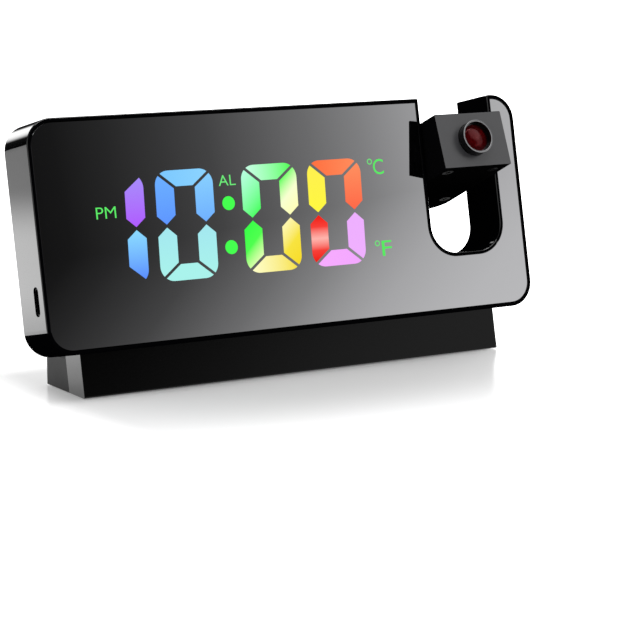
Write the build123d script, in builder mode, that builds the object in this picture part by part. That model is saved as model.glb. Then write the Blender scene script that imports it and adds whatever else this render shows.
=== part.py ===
from build123d import *
import os
from math import cos, hypot, radians, sin, tan

# Projection alarm clock: a mirror-faced body that leans back on a low base, with a projector
# head that turns in a slot at its upper right. Sizes are millimetres and degrees.
#
# The origin is the middle of the bounding box, on the table; +X is to the right as seen from
# the front, +Y to the rear and +Z up. Places on the leaning body are given as x from its
# middle, u up the face from its lower edge, and n back from its front rim.

# ---- Clock body ---------------------------------------------------------------------------
BODY_W = 190.0          # width of the face
BODY_H = 76.8           # height of the face, up its lean
BODY_T = 20.0           # front rim to rear cover
BODY_CORNER_R = 9.0     # corners of the face
LEAN = 10.8             # how far the face leans back
FACE_LIFT = 16.0        # lower front edge above the table
WALL = 1.8              # side and slot walls
EDGE_R = 0.5            # rounding of the moulded edges
RIM = 1.3               # bezel outside the mirror
SLOT_RIM = 1.1          # bezel round the slot
MIRROR_T = 1.5          # acrylic sheet
MIRROR_SINK = 0.3       # mirror face below the rim
MIRROR_FIT = 0.1
MIRROR_EDGE = 0.2       # polished chamfer round its front
LEDGE_W = 2.2           # ledge that the mirror is bonded to
LEDGE_T = 1.5
COVER_T = 1.8           # rear cover plate
COVER_FIT = 0.15

# ---- Projector head and its slot ------------------------------------------------------------
HEAD_W = 27.9
HEAD_H = 19.7           # height of its front
HEAD_LENGTH = 52.5
HEAD_FRONT = 20.3       # pivot to front face
HEAD_TAPER = 2.0        # fall of the underside towards the rear
HEAD_CORNER_R = 9.2     # rear corners, seen from above
HEAD_TILT = 10.7        # how far the beam points above square to the face
HEAD_WALL = 1.6
HEAD_EDGE_R = 0.4
HEAD_POST_GAP = 0.45    # screw posts for the bottom plate, from the side walls
HEAD_POST_FRONT = -14.5
HEAD_POST_REAR = 19.0
BOTTOM_T = 1.5          # head's bottom plate
BOTTOM_FIT = 0.1
SIDE_GAP = 0.8          # between the head and each slot wall
SWING_GAP = 1.0         # between the turning head and the slot floor
ARM_W = 10.8            # arm of the body right of the slot
SLOT_CORNER_R = 10.0
SLOT_LIP_R = 0.6        # upper ends of the slot walls

# ---- Hinge ------------------------------------------------------------------------------------
PIN_D = 6.0
PIN_BORE_D = 3.2        # lets the leads through
PIN_COLLAR_D = 8.0
PIN_COLLAR_T = 1.0
PIN_END = 0.6           # pin beyond its clip
BUSH_D = 8.0
BUSH_FLANGE_D = 10.5
BUSH_FLANGE_T = 0.6
RUN_FIT = 0.05          # pin in its bush, radially
PRESS_FIT = 0.03        # room left where a round piece is pressed in
BEARING_D = 12.5        # boss round each bush
BEARING_L = 1.2
PIN_BOSS_D = 10.5       # boss inside the head
PIN_BOSS_L = 2.0
CLIP_D = 9.0
CLIP_T = 0.6
GROOVE_D = 5.0
CLIP_FIT = 0.1
CLIP_MOUTH = 4.0
WASHER_D = 11.0
WASHER_GAP = 0.1

# ---- Lens and lamp ------------------------------------------------------------------------------
RING_D = 12.0           # focus ring
RING_BORE_D = 10.9
RING_PROUD = 3.7
RING_FLANGE_D = 13.6
RING_FLANGE_T = 0.9
RING_FIT = 0.1
RING_CHAMFER = 0.2
CELL_TUBE_T = 0.45      # wall of the lens cell
CELL_FRONT = 1.7        # lens cell's front end, ahead of the head's face
CELL_LENGTH = 8.0
CELL_SEAT = 0.3         # step that the lens rests on
CELL_RIM = 0.6          # lens rim behind the cell's front end
LENS_EDGE_T = 1.2
LENS_FRONT_SAG = 1.2
LENS_REAR_SAG = 0.9
HOLDER_S = 7.0          # rear of the slide holder, ahead of the pivot
HOLDER_T = 3.5
SLIDE_W, SLIDE_H, SLIDE_T = 13.0, 9.0, 1.1
WINDOW_W, WINDOW_H = 11.0, 7.0
CONDENSER_D = 12.0
CONDENSER_EDGE_T = 0.8
CONDENSER_SAG = 2.4
LAMP_BOARD_S = -9.0     # front of the lamp board, ahead of the pivot
LAMP_BOARD_T = 1.2
LED_D = 5.0
LED_BASE_D = 5.8
LED_BASE_T = 1.0
LED_FLAT = 0.05
LED_L = 7.0
PART_FIT = 0.15         # inner pieces between the head's walls

# ---- Display --------------------------------------------------------------------------------------
DIGIT_W = 21.4
DIGIT_H = 36.6
DIGIT_R = 5.0           # outer corners
STROKE_V = 6.8          # upright strokes
STROKE_H = 5.4          # level strokes
SHOULDER = 3.4          # where a stroke starts to narrow to the waist
STROKE_GAP = 1.0
SLANT = 2.6             # degrees the digits lean over
DIGIT_U = 39.0
TENS_X, UNITS_X, MIN_TENS_X, MIN_UNITS_X = -49.2, -23.5, 8.7, 34.4     # from the display's middle
COLON_X = -7.4
DISPLAY_SHARE = 0.76   # of the free width, left of the display
COLON_PITCH = 14.8
COLON_U = 37.6
DOT_D = 4.7
MARK_PM = (-52.1, 44.9, 8.4, 5.0)       # x, u, width, height of each small window
MARK_AL = (-6.8, 52.8, 7.2, 5.2)
MARK_C = (52.6, 53.7, 7.4, 6.4)
MARK_F = (52.4, 25.0, 7.4, 6.8)
FILM_T = 0.4
FILM_GAP = 0.15
BLOCK_MARGIN = 3.2      # reflector beyond the windows
BLOCK_R = 1.5
DIFFUSER_T = 1.0
WINDOW_FIT = 0.05
LED_CHIP = (2.8, 1.4, 0.7)

# ---- Circuit board and what it carries -----------------------------------------------------------------
BOARD_N = 7.4           # front of the board
BOARD_T = 1.6
BOARD_EDGE = 0.7        # board to the side walls
BOARD_CORNER = 11.5     # left corners cut off round the bosses
BOARD_SLOT_GAP = 6.4     # board to the slot's wall, past the hinge pin
BOARD_BOSS_X = -14.0
CASE_BOSS_X = 12.0       # middle pair of rear cover bosses
BOARD_BOSS_END = 18.5   # outer board bosses in from the left edge, and from the board's right
BOSS_D = 5.6
BOSS_CLEAR = 0.6
BOSS_BITE = 0.2         # bosses run this far into the walls
PILOT_L = 8.0
SCREW_D = 2.2
THREAD_FIT = 0.03       # screw in its boss
SCREW_L = 6.0
SCREW_HEAD_D = 4.2
SCREW_HEAD_T = 1.2
HEAD_RECESS = 0.8       # screw heads and feet let into a plate
SCREW_FIT = 0.2
CROSS_L, CROSS_W, CROSS_T = 2.4, 0.6, 0.6     # recess for the driver
USB_U = 18.3
USB_W = 8.94            # receptacle shell
USB_T = 3.16
USB_L = 7.3
USB_SKIN = 0.3
USB_SINK = 0.4          # shell behind the wall's face
USB_GAP = 0.35
USB_FLAT = 0.01         # straight left between the round ends
TONGUE_W, TONGUE_T, TONGUE_L = 6.7, 0.7, 4.6
TONGUE_SINK = 1.0       # tongue behind the shell's mouth
SWITCH_W = 6.0
SWITCH_H = 3.5
PLUNGER_D = 3.4
PLUNGER_H = 0.7
CHIP_W, CHIP_T = 14.0, 1.6
CHIP_X, CHIP_U = -20.0, 27.0
BUZZER_X, BUZZER_U = -58.0, 27.0
BUZZER_D, BUZZER_T, BUZZER_HOLE_D = 12.0, 5.5, 2.0
SENSOR_X, SENSOR_U = -82.0, 60.0
SENSOR_D, SENSOR_L = 2.4, 3.2
SENSOR_DOME = 1.0
SOUND_HOLE_D, SOUND_PITCH = 1.6, 2.9
VENT_L, VENT_W, VENT_PITCH = 10.0, 1.4, 3.0
CELL_X, CELL_U = 24.0, 33.0
CELL_D, CELL_T = 20.0, 3.2
CELL_FIT = 0.2
CUP_WALL = 1.6
CUP_FLOOR = 2.8
CUP_NOTCH_W = 8.0       # notches for a fingernail
CELL_EDGE = 0.3

# ---- Keys and snooze bar ----------------------------------------------------------------------------------
KEY_XS = (-66.0, -49.0, -32.0, -15.0, 2.0)
KEY_U = 54.0
KEY_D = 6.6
KEY_PROUD = 1.2
KEY_FLANGE_D = 8.8
FLANGE_T = 0.8
STEM_D = 3.6
KEY_GAP = 0.2
FLANGE_GAP = 0.1
TRAVEL = 0.6
TRAVEL_REST = 0.15      # left between stem and plunger when pressed home
SNOOZE_X = -45.0
SNOOZE_N = 13.4
SNOOZE_W = 36.0
SNOOZE_D = 6.4
SNOOZE_FLANGE = 0.8
SNOOZE_STEM_L = 1.0
KEY_EDGE_R = 0.5

# ---- Cell hatch ----------------------------------------------------------------------------------------------
HATCH_D = 24.0
HATCH_T = 1.2
HATCH_SINK = 0.1
SPIGOT_D = 20.8
HATCH_FIT = 0.2
HATCH_RING_D = 28.5
HATCH_RING_T = 1.8      # ring behind the cover plate
LUG_D = 23.6
LUG_W = 6.0
LUG_T = 1.0
LUG_GAP = 0.1
HATCH_TURN = 60.0       # from locked to its lugs in the notches
COIN_SLOT_L, COIN_SLOT_W, COIN_SLOT_T = 15.0, 1.8, 0.8

# ---- Base --------------------------------------------------------------------------------------------------------
BASE_W = 163.2
BASE_SETBACK = 7.0      # plinth's front behind the face
PLINTH_T = 12.0
BASE_DEPTH = 30.6       # along the table
BASE_WALL = 1.6
FOOT_TOP = 11.4
FOOT_DRAFT = 2.0
FOOT_ROUND = 3.0
PLATE_T = 1.6
PLATE_FIT = 0.15
PAD_D = 9.0
PAD_PROUD = 0.4
PAD_END = 9.6           # pads, posts and body screws in from the base's ends
PAD_IN = 1.0
POST_D = 4.6
POST_END = 21.6
BODY_SCREW_GAP = 7.7     # outer board bosses to the screws that hold the base
BODY_BOSS_D = 7.0
BODY_BOSS_L = 8.0

# ---- Places worked out from the sizes -----------------------------------------------------------------------------
LEDGE_N = MIRROR_SINK + MIRROR_T                # front of the ledge
CAVITY_N = LEDGE_N + LEDGE_T
COVER_N = BODY_T - COVER_T                      # inner face of the rear cover
BOARD_BACK_N = BOARD_N + BOARD_T
FILM_N = LEDGE_N + FILM_GAP
BLOCK_N = FILM_N + FILM_T                       # front of the reflector
PLUNGER_N = BOARD_BACK_N + SWITCH_H + PLUNGER_H

PIVOT_U = BODY_H - HEAD_FRONT                   # turned upright, the head is flush with the top
PIVOT_N = BODY_T / 2
HEAD_REAR = HEAD_LENGTH - HEAD_FRONT
HEAD_POST_X = HEAD_W / 2 - HEAD_WALL - HEAD_POST_GAP - POST_D / 2
HEAD_DROP = HEAD_H / 2 + HEAD_LENGTH * tan(radians(HEAD_TAPER))
SLOT_W = HEAD_W + 2 * SIDE_GAP
SLOT_X = BODY_W / 2 - ARM_W - SLOT_W / 2        # middle of the slot
SLOT_FLOOR = PIVOT_U - hypot(HEAD_REAR, HEAD_DROP) - SWING_GAP

SIN_L, COS_L = sin(radians(LEAN)), cos(radians(LEAN))
BEAM_RISE = LEAN + HEAD_TILT
SIN_B, COS_B = sin(radians(BEAM_RISE)), cos(radians(BEAM_RISE))
PIVOT_BACK = PIVOT_U * SIN_L + PIVOT_N * COS_L  # pivot behind the face's lower edge
REACH_FRONT = (HEAD_FRONT + RING_PROUD) * COS_B + RING_D / 2 * SIN_B
REACH_REAR = HEAD_REAR * COS_B + HEAD_H / 2 * SIN_B
FACE_Y = (REACH_FRONT - REACH_REAR) / 2 - PIVOT_BACK

UP_FACE = (0, SIN_L, COS_L)
BACK = (0, COS_L, -SIN_L)
BEAM = (0, -COS_B, SIN_B)
HEAD_UP = (0, SIN_B, COS_B)
HEAD_BACK = (0, COS_B, -SIN_B)
PIVOT = (SLOT_X, FACE_Y + PIVOT_BACK, FACE_LIFT + PIVOT_U * COS_L - PIVOT_N * SIN_L)

FACE = Plane(origin=(0, FACE_Y, FACE_LIFT), x_dir=(1, 0, 0), z_dir=(0, -COS_L, SIN_L))
SIDE = Plane(origin=FACE.origin, x_dir=BACK, z_dir=(1, 0, 0))       # local n, u
TOP = Plane(origin=FACE.origin, x_dir=(1, 0, 0), z_dir=UP_FACE)     # local x, n
HINGE = Plane(origin=PIVOT, x_dir=BACK, z_dir=(1, 0, 0))
HEAD_PLAN = Plane(origin=PIVOT, x_dir=(1, 0, 0), z_dir=HEAD_UP)     # local x, back
HEAD_SIDE = Plane(origin=PIVOT, x_dir=HEAD_BACK, z_dir=(1, 0, 0))   # local back, up
HEAD_AIM = Plane(origin=PIVOT, x_dir=(1, 0, 0), z_dir=BEAM)         # local x, up
BACKWARD = Axis((0, 0, 0), BACK)
BEAM_AXIS = Axis(PIVOT, BEAM)

BOARD_LEFT_X = -BODY_W / 2 + WALL + BOARD_EDGE
BOARD_RIGHT_X = SLOT_X - SLOT_W / 2 - WALL - BOARD_SLOT_GAP
BOSS_IN = WALL + BOSS_D / 2 - BOSS_BITE
BOARD_BOSS_LEFT_X = BOARD_LEFT_X + BOARD_BOSS_END
BOARD_BOSS_RIGHT_X = BOARD_RIGHT_X - BOSS_D - BOSS_CLEAR
CORNER_IN = BODY_CORNER_R - (BODY_CORNER_R - WALL - BOSS_D / 2 + BOSS_BITE) / 2 ** 0.5
ARM_X = BODY_W / 2 - ARM_W / 2
CASE_BOSSES = (
    (-BODY_W / 2 + CORNER_IN, CORNER_IN),
    (-BODY_W / 2 + CORNER_IN, BODY_H - CORNER_IN),
    (BODY_W / 2 - CORNER_IN, CORNER_IN),
    (ARM_X, BODY_H - CORNER_IN),
    (CASE_BOSS_X, BOSS_IN),
    (CASE_BOSS_X, BODY_H - BOSS_IN),
)
BOARD_BOSSES = (
    (BOARD_BOSS_LEFT_X, BOSS_IN), (BOARD_BOSS_LEFT_X, BODY_H - BOSS_IN), (BOARD_BOSS_X, BOSS_IN),
    (BOARD_BOSS_X, BODY_H - BOSS_IN), (BOARD_BOSS_RIGHT_X, BOSS_IN),
    (BOARD_BOSS_RIGHT_X, BODY_H - BOSS_IN),
)
BODY_SCREWS = [(side * (BOARD_BOSS_RIGHT_X + BODY_SCREW_GAP), BASE_SETBACK + PLINTH_T / 2)
               for side in (-1, 1)]
LIT = {
    TENS_X: "bc", UNITS_X: "abcdef", MIN_TENS_X: "abcdef", MIN_UNITS_X: "abcdef",
}
MARKS = (MARK_PM, MARK_AL, MARK_C, MARK_F)

os.makedirs("parts", exist_ok=True)


def at_depth(n):
    """The plane parallel to the face, n behind its front rim."""
    return FACE.offset(-n)


def at_height(u):
    """The plane square to the face, u above its lower edge."""
    return TOP.offset(u)


def face_outline(inset, slot_inset):
    """Adds the face's outline to the current sketch, pulled in from its edge and its slot."""
    with Locations((0, BODY_H / 2)):
        RectangleRounded(BODY_W - 2 * inset, BODY_H - 2 * inset, BODY_CORNER_R - inset)
    slot_tall = BODY_H - SLOT_FLOOR + 3 * SLOT_CORNER_R
    with Locations((SLOT_X, SLOT_FLOOR - slot_inset + slot_tall / 2)):
        RectangleRounded(SLOT_W + 2 * slot_inset, slot_tall, SLOT_CORNER_R + slot_inset,
                         mode=Mode.SUBTRACT)


def underside(back):
    """Height of the head's underside, seen from its side, back behind the pivot."""
    return -HEAD_H / 2 - (back + HEAD_FRONT) * tan(radians(HEAD_TAPER))


def write(piece, name):
    """Labels a finished piece and writes its file."""
    piece.part.label = name
    export_step(piece.part, f"parts/{name}.step")


# ---- Front housing ----------------------------------------------------------------------------
with BuildPart() as front_housing:
    with BuildSketch(at_depth(0)):
        face_outline(0, 0)
    extrude(amount=-BODY_T)
    lips = front_housing.edges().filter_by(BACKWARD)
    fillet(lips.sort_by_distance(at_depth(BODY_T / 2).from_local_coords((SLOT_X, BODY_H, 0)))[:2],
           SLOT_LIP_R)
    fronts = front_housing.faces().sort_by(BACKWARD)
    fillet(fronts[0].edges() + fronts[-1].edges(), EDGE_R)
    with BuildSketch(at_depth(0)):
        face_outline(RIM, SLOT_RIM)
    extrude(amount=-LEDGE_N, mode=Mode.SUBTRACT)
    with BuildSketch(at_depth(LEDGE_N)):
        face_outline(WALL + LEDGE_W, WALL + LEDGE_W)
    extrude(amount=-LEDGE_T, mode=Mode.SUBTRACT)
    with BuildSketch(at_depth(CAVITY_N)):
        face_outline(WALL, WALL)
    extrude(amount=-BODY_T, mode=Mode.SUBTRACT)
    # bosses for the rear cover and for the circuit board
    with BuildSketch(at_depth(CAVITY_N)):
        with Locations(*CASE_BOSSES):
            Circle(BOSS_D / 2)
    extrude(amount=-(COVER_N - CAVITY_N))
    with BuildSketch(at_depth(CAVITY_N)):
        with Locations(*BOARD_BOSSES):
            Circle(BOSS_D / 2)
    extrude(amount=-(BOARD_N - CAVITY_N))
    with BuildSketch(at_depth(COVER_N)):
        with Locations(*CASE_BOSSES):
            Circle(SCREW_D / 2 + THREAD_FIT)
    extrude(amount=PILOT_L, mode=Mode.SUBTRACT)
    with BuildSketch(at_depth(BOARD_N)):
        with Locations(*BOARD_BOSSES):
            Circle(SCREW_D / 2 + THREAD_FIT)
    extrude(amount=BOARD_N - CAVITY_N, mode=Mode.SUBTRACT)
    # bosses in the floor for the screws that hold the base
    with BuildSketch(at_height(WALL)):
        with Locations(*BODY_SCREWS):
            Circle(BODY_BOSS_D / 2)
    extrude(amount=BODY_BOSS_L)
    with BuildSketch(at_height(0)):
        with Locations(*BODY_SCREWS):
            Circle(SCREW_D / 2 + THREAD_FIT)
    extrude(amount=BODY_BOSS_L, mode=Mode.SUBTRACT)
    # bearing bosses and bores in the slot walls
    for side in (-1, 1):
        with BuildSketch(HINGE.offset(side * (SLOT_W / 2 + WALL))):
            Circle(BEARING_D / 2)
        extrude(amount=side * BEARING_L)
        with BuildSketch(HINGE.offset(side * SLOT_W / 2)):
            Circle(BUSH_D / 2 + PRESS_FIT)
        extrude(amount=side * (WALL + BEARING_L), mode=Mode.SUBTRACT)
    # inlet in the left wall and the snooze bar's opening in the top
    with BuildSketch(SIDE.offset(-BODY_W / 2)):
        with Locations((BOARD_N - USB_T / 2, USB_U)):
            RectangleRounded(USB_T + 2 * USB_GAP, USB_W + 2 * USB_GAP, USB_T / 2)
    extrude(amount=WALL, mode=Mode.SUBTRACT)
    with BuildSketch(at_height(BODY_H)):
        with Locations((SNOOZE_X, SNOOZE_N)):
            RectangleRounded(SNOOZE_W + 2 * KEY_GAP, SNOOZE_D + 2 * KEY_GAP, SNOOZE_D / 2)
    extrude(amount=-WALL, mode=Mode.SUBTRACT)
write(front_housing, "front_housing")

# ---- Mirror panel -------------------------------------------------------------------------------
with BuildPart() as mirror_panel:
    with BuildSketch(at_depth(MIRROR_SINK)):
        face_outline(RIM + MIRROR_FIT, SLOT_RIM + MIRROR_FIT)
    extrude(amount=-MIRROR_T)
    chamfer(mirror_panel.faces().sort_by(BACKWARD)[0].edges(), MIRROR_EDGE)
write(mirror_panel, "mirror_panel")

# ---- Rear cover -----------------------------------------------------------------------------------
with BuildPart() as rear_cover:
    with BuildSketch(at_depth(COVER_N)):
        face_outline(WALL + COVER_FIT, WALL + COVER_FIT)
    extrude(amount=-COVER_T)
    with BuildSketch(at_depth(COVER_N)):
        with Locations((CELL_X, CELL_U)):
            Circle(HATCH_RING_D / 2)
    extrude(amount=HATCH_RING_T)
    # screw holes, their heads let in
    with BuildSketch(at_depth(COVER_N)):
        with Locations(*CASE_BOSSES):
            Circle(SCREW_D / 2 + SCREW_FIT)
        with Locations(*[(x, KEY_U) for x in KEY_XS]):
            Circle(KEY_D / 2 + KEY_GAP)
        with Locations((CELL_X, CELL_U)):
            Circle(SPIGOT_D / 2 + HATCH_FIT)
        # sound holes over the buzzer and vents beside the temperature sensor
        with Locations((BUZZER_X, BUZZER_U)):
            Circle(SOUND_HOLE_D / 2)
            with PolarLocations(SOUND_PITCH, 6):
                Circle(SOUND_HOLE_D / 2)
            with PolarLocations(2 * SOUND_PITCH, 12):
                Circle(SOUND_HOLE_D / 2)
        with Locations((SENSOR_X, SENSOR_U)):
            with GridLocations(VENT_PITCH, 0, 4, 1):
                SlotOverall(VENT_L, VENT_W, rotation=90)
    extrude(amount=-COVER_T, mode=Mode.SUBTRACT)
    with BuildSketch(at_depth(BODY_T)):
        with Locations(*CASE_BOSSES):
            Circle(SCREW_HEAD_D / 2 + SCREW_FIT)
    extrude(amount=HEAD_RECESS, mode=Mode.SUBTRACT)
    # hatch seat with the two notches that let its lugs out
    with BuildSketch(at_depth(BODY_T)):
        with Locations((CELL_X, CELL_U)):
            Circle(HATCH_D / 2 + HATCH_FIT)
    extrude(amount=HATCH_T + HATCH_SINK, mode=Mode.SUBTRACT)
    with BuildSketch(at_depth(COVER_N - HATCH_RING_T)):
        with Locations((CELL_X, CELL_U)):
            Circle(SPIGOT_D / 2 + HATCH_FIT)
            Rectangle(LUG_D + 2 * HATCH_FIT, LUG_W + 2 * HATCH_FIT, rotation=HATCH_TURN)
            Circle(LUG_D / 2 + HATCH_FIT, mode=Mode.INTERSECT)
    extrude(amount=-(HATCH_RING_T + COVER_T), mode=Mode.SUBTRACT)
write(rear_cover, "rear_cover")

# ---- Cell hatch: a cap that a coin turns -------------------------------------------------------------
with BuildPart() as cell_hatch:
    with BuildSketch(at_depth(BODY_T - HATCH_SINK)):
        with Locations((CELL_X, CELL_U)):
            Circle(HATCH_D / 2)
    extrude(amount=HATCH_T)
    with BuildSketch(at_depth(BODY_T - HATCH_SINK - HATCH_T)):
        with Locations((CELL_X, CELL_U)):
            Circle(SPIGOT_D / 2)
    extrude(amount=COVER_T + HATCH_RING_T - HATCH_T - HATCH_SINK + LUG_GAP + LUG_T)
    with BuildSketch(at_depth(COVER_N - HATCH_RING_T - LUG_GAP)):
        with Locations((CELL_X, CELL_U)):
            Rectangle(LUG_D, LUG_W)
            Circle(LUG_D / 2, mode=Mode.INTERSECT)
    extrude(amount=LUG_T)
    with BuildSketch(at_depth(BODY_T - HATCH_SINK)):
        with Locations((CELL_X, CELL_U)):
            SlotOverall(COIN_SLOT_L, COIN_SLOT_W)
    extrude(amount=COIN_SLOT_T, mode=Mode.SUBTRACT)
write(cell_hatch, "cell_hatch")

# ---- Display: reflector block, light windows, carrier film and LED chips -----------------------------
def stroke_points(stroke):
    """Corners of one of a digit's seven strokes, from the middle of the upright digit."""
    half_w, half_h = DIGIT_W / 2, DIGIT_H / 2
    mitre = hypot(STROKE_V, STROKE_H) * STROKE_GAP / 2
    rise, run = mitre / STROKE_V, mitre / STROKE_H
    level = [(run - half_w, half_h), (half_w - run, half_h),
             (half_w - STROKE_V - run, half_h - STROKE_H),
             (STROKE_V + run - half_w, half_h - STROKE_H)]
    upright = [(half_w, half_h - rise), (half_w - STROKE_V, half_h - STROKE_H - rise),
               (half_w - STROKE_V, SHOULDER), (half_w - STROKE_V / 2, STROKE_GAP / 2),
               (half_w, SHOULDER)]
    waist = half_w - STROKE_V / 2 - STROKE_GAP
    middle = [(-waist, 0), (-waist + STROKE_H / 2, STROKE_H / 2),
              (waist - STROKE_H / 2, STROKE_H / 2), (waist, 0),
              (waist - STROKE_H / 2, -STROKE_H / 2), (-waist + STROKE_H / 2, -STROKE_H / 2)]
    across, down = {"a": (1, 1), "d": (1, -1), "b": (1, 1), "c": (1, -1),
                    "e": (-1, -1), "f": (-1, 1), "g": (1, 1)}[stroke]
    corners = level if stroke in "ad" else middle if stroke == "g" else upright
    return [(across * x, down * y) for x, y in corners]


def slanted(points):
    """Leans the points of an upright digit over."""
    return [(x + y * tan(radians(SLANT)), y) for x, y in points]


def digit(strokes):
    """One digit's strokes, inside its outline with round outer corners."""
    half_w, half_h = DIGIT_W / 2, DIGIT_H / 2
    with BuildSketch() as shapes:
        for stroke in strokes:
            Polygon(*slanted(stroke_points(stroke)), align=None)
    with BuildSketch() as outline:
        Polygon(*slanted([(-half_w, -half_h), (half_w, -half_h), (half_w, half_h),
                          (-half_w, half_h)]), align=None)
        fillet(outline.vertices(), DIGIT_R)
        add(shapes.sketch, mode=Mode.INTERSECT)
    return outline.sketch


def light_windows(strokes_at, fit=0.0):
    """Adds every window of the display to the current sketch, each grown by fit."""
    for x, strokes in strokes_at.items():
        with Locations((DISPLAY_X + x, DIGIT_U)):
            add(offset(digit(strokes), amount=fit, mode=Mode.PRIVATE) if fit else digit(strokes))
    for step in (-1, 1):
        x = DISPLAY_X + COLON_X + step * COLON_PITCH / 2 * tan(radians(SLANT))
        with Locations((x, COLON_U + step * COLON_PITCH / 2)):
            Circle(DOT_D / 2 + fit)
    for x, u, width, height in MARKS:
        with Locations((DISPLAY_X + x, u)):
            Rectangle(width + 2 * fit, height + 2 * fit)


WINDOWS_LEFT = MARK_PM[0] - MARK_PM[2] / 2
WINDOWS_RIGHT = MARK_C[0] + MARK_C[2] / 2
BLOCK_W = WINDOWS_RIGHT - WINDOWS_LEFT + 2 * BLOCK_MARGIN
BLOCK_H = DIGIT_H + 2 * BLOCK_MARGIN
DISPLAY_X = (BOARD_LEFT_X + DISPLAY_SHARE * (BOARD_RIGHT_X - BOARD_LEFT_X - BLOCK_W)
             + BLOCK_W / 2 - (WINDOWS_LEFT + WINDOWS_RIGHT) / 2)
BLOCK_T = BOARD_N - BLOCK_N

with BuildPart() as display_reflector:
    with BuildSketch(at_depth(BLOCK_N)):
        with Locations((DISPLAY_X + (WINDOWS_LEFT + WINDOWS_RIGHT) / 2, DIGIT_U)):
            RectangleRounded(BLOCK_W, BLOCK_H, BLOCK_R)
    extrude(amount=-BLOCK_T)
    with BuildSketch(at_depth(BLOCK_N)):
        light_windows(LIT, WINDOW_FIT)
    extrude(amount=-BLOCK_T, mode=Mode.SUBTRACT)
write(display_reflector, "display_reflector")

with BuildPart() as segment_diffusers:
    with BuildSketch(at_depth(BLOCK_N)):
        light_windows(LIT)
    extrude(amount=-DIFFUSER_T)
write(segment_diffusers, "segment_diffusers")

with BuildPart() as display_film:
    with BuildSketch(at_depth(FILM_N)):
        with Locations((DISPLAY_X + (WINDOWS_LEFT + WINDOWS_RIGHT) / 2, DIGIT_U)):
            RectangleRounded(BLOCK_W, BLOCK_H, BLOCK_R)
    extrude(amount=-FILM_T)
write(display_film, "display_film")

# one chip at the middle of each stroke, dot and mark
level_y = (DIGIT_H - STROKE_H) / 2
upright_x = (DIGIT_W - STROKE_V) / 2
upright_y = (DIGIT_H / 2 - STROKE_H + SHOULDER) / 2
STROKE_MIDDLES = {
    "a": (0, level_y), "b": (upright_x, upright_y), "c": (upright_x, -upright_y),
    "d": (0, -level_y), "e": (-upright_x, -upright_y), "f": (-upright_x, upright_y),
}
chip_places = [(DISPLAY_X + x + dx + dy * tan(radians(SLANT)), DIGIT_U + dy)
               for x, strokes in LIT.items()
               for dx, dy in (STROKE_MIDDLES[stroke] for stroke in strokes)]
chip_places += [(DISPLAY_X + COLON_X + step * COLON_PITCH / 2 * tan(radians(SLANT)),
                 COLON_U + step * COLON_PITCH / 2) for step in (-1, 1)]
chip_places += [(DISPLAY_X + x, u) for x, u, width, height in MARKS]

with BuildPart() as display_leds:
    with BuildSketch(at_depth(BOARD_N)):
        with Locations(*chip_places):
            Rectangle(LED_CHIP[0], LED_CHIP[1])
    extrude(amount=LED_CHIP[2])
write(display_leds, "display_leds")

# ---- Circuit board ---------------------------------------------------------------------------------------
with BuildPart() as main_board:
    with BuildSketch(at_depth(BOARD_N)) as main_board_outline:
        with Locations(((BOARD_LEFT_X + BOARD_RIGHT_X) / 2, BODY_H / 2)):
            Rectangle(BOARD_RIGHT_X - BOARD_LEFT_X, BODY_H - 2 * (WALL + BOARD_EDGE))
        chamfer(main_board_outline.vertices().sort_by(Axis.X)[:2], BOARD_CORNER)
        with Locations(*CASE_BOSSES):
            Circle(BOSS_D / 2 + BOSS_CLEAR, mode=Mode.SUBTRACT)
        with Locations(*BOARD_BOSSES):
            Circle(SCREW_D / 2 + SCREW_FIT, mode=Mode.SUBTRACT)
    extrude(amount=-BOARD_T)
write(main_board, "main_board")

with BuildPart() as control_chip:
    with BuildSketch(at_depth(BOARD_BACK_N)):
        with Locations((CHIP_X, CHIP_U)):
            Rectangle(CHIP_W, CHIP_W)
    extrude(amount=-CHIP_T)
write(control_chip, "control_chip")

with BuildPart() as key_switches:
    with BuildSketch(at_depth(BOARD_BACK_N)):
        with Locations(*[(x, KEY_U) for x in KEY_XS]):
            Rectangle(SWITCH_W, SWITCH_W)
    extrude(amount=-SWITCH_H)
    with BuildSketch(at_depth(BOARD_BACK_N + SWITCH_H)):
        with Locations(*[(x, KEY_U) for x in KEY_XS]):
            Circle(PLUNGER_D / 2)
    extrude(amount=-PLUNGER_H)
write(key_switches, "key_switches")

# the snooze switch lies on the board and faces up
SNOOZE_FLANGE_U = BODY_H - WALL - FLANGE_GAP
SNOOZE_SWITCH_U = (SNOOZE_FLANGE_U - FLANGE_T - SNOOZE_STEM_L - TRAVEL - TRAVEL_REST - PLUNGER_H
                   - SWITCH_H)
SNOOZE_PLUNGER_U = SNOOZE_SWITCH_U + SWITCH_H + PLUNGER_H
with BuildPart() as snooze_switch:
    with BuildSketch(at_height(SNOOZE_SWITCH_U)):
        with Locations((SNOOZE_X, (BOARD_BACK_N + SNOOZE_N + SWITCH_W / 2) / 2)):
            Rectangle(SWITCH_W, SNOOZE_N + SWITCH_W / 2 - BOARD_BACK_N)
    extrude(amount=SWITCH_H)
    with BuildSketch(at_height(SNOOZE_SWITCH_U + SWITCH_H)):
        with Locations((SNOOZE_X, SNOOZE_N)):
            Circle(PLUNGER_D / 2)
    extrude(amount=PLUNGER_H)
write(snooze_switch, "snooze_switch")

with BuildPart() as buzzer:
    with BuildSketch(at_depth(BOARD_BACK_N)):
        with Locations((BUZZER_X, BUZZER_U)):
            Circle(BUZZER_D / 2)
    extrude(amount=-BUZZER_T)
    with BuildSketch(at_depth(BOARD_BACK_N + BUZZER_T)):
        with Locations((BUZZER_X, BUZZER_U)):
            Circle(BUZZER_HOLE_D / 2)
    extrude(amount=BUZZER_T / 2, mode=Mode.SUBTRACT)
write(buzzer, "buzzer")

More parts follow.
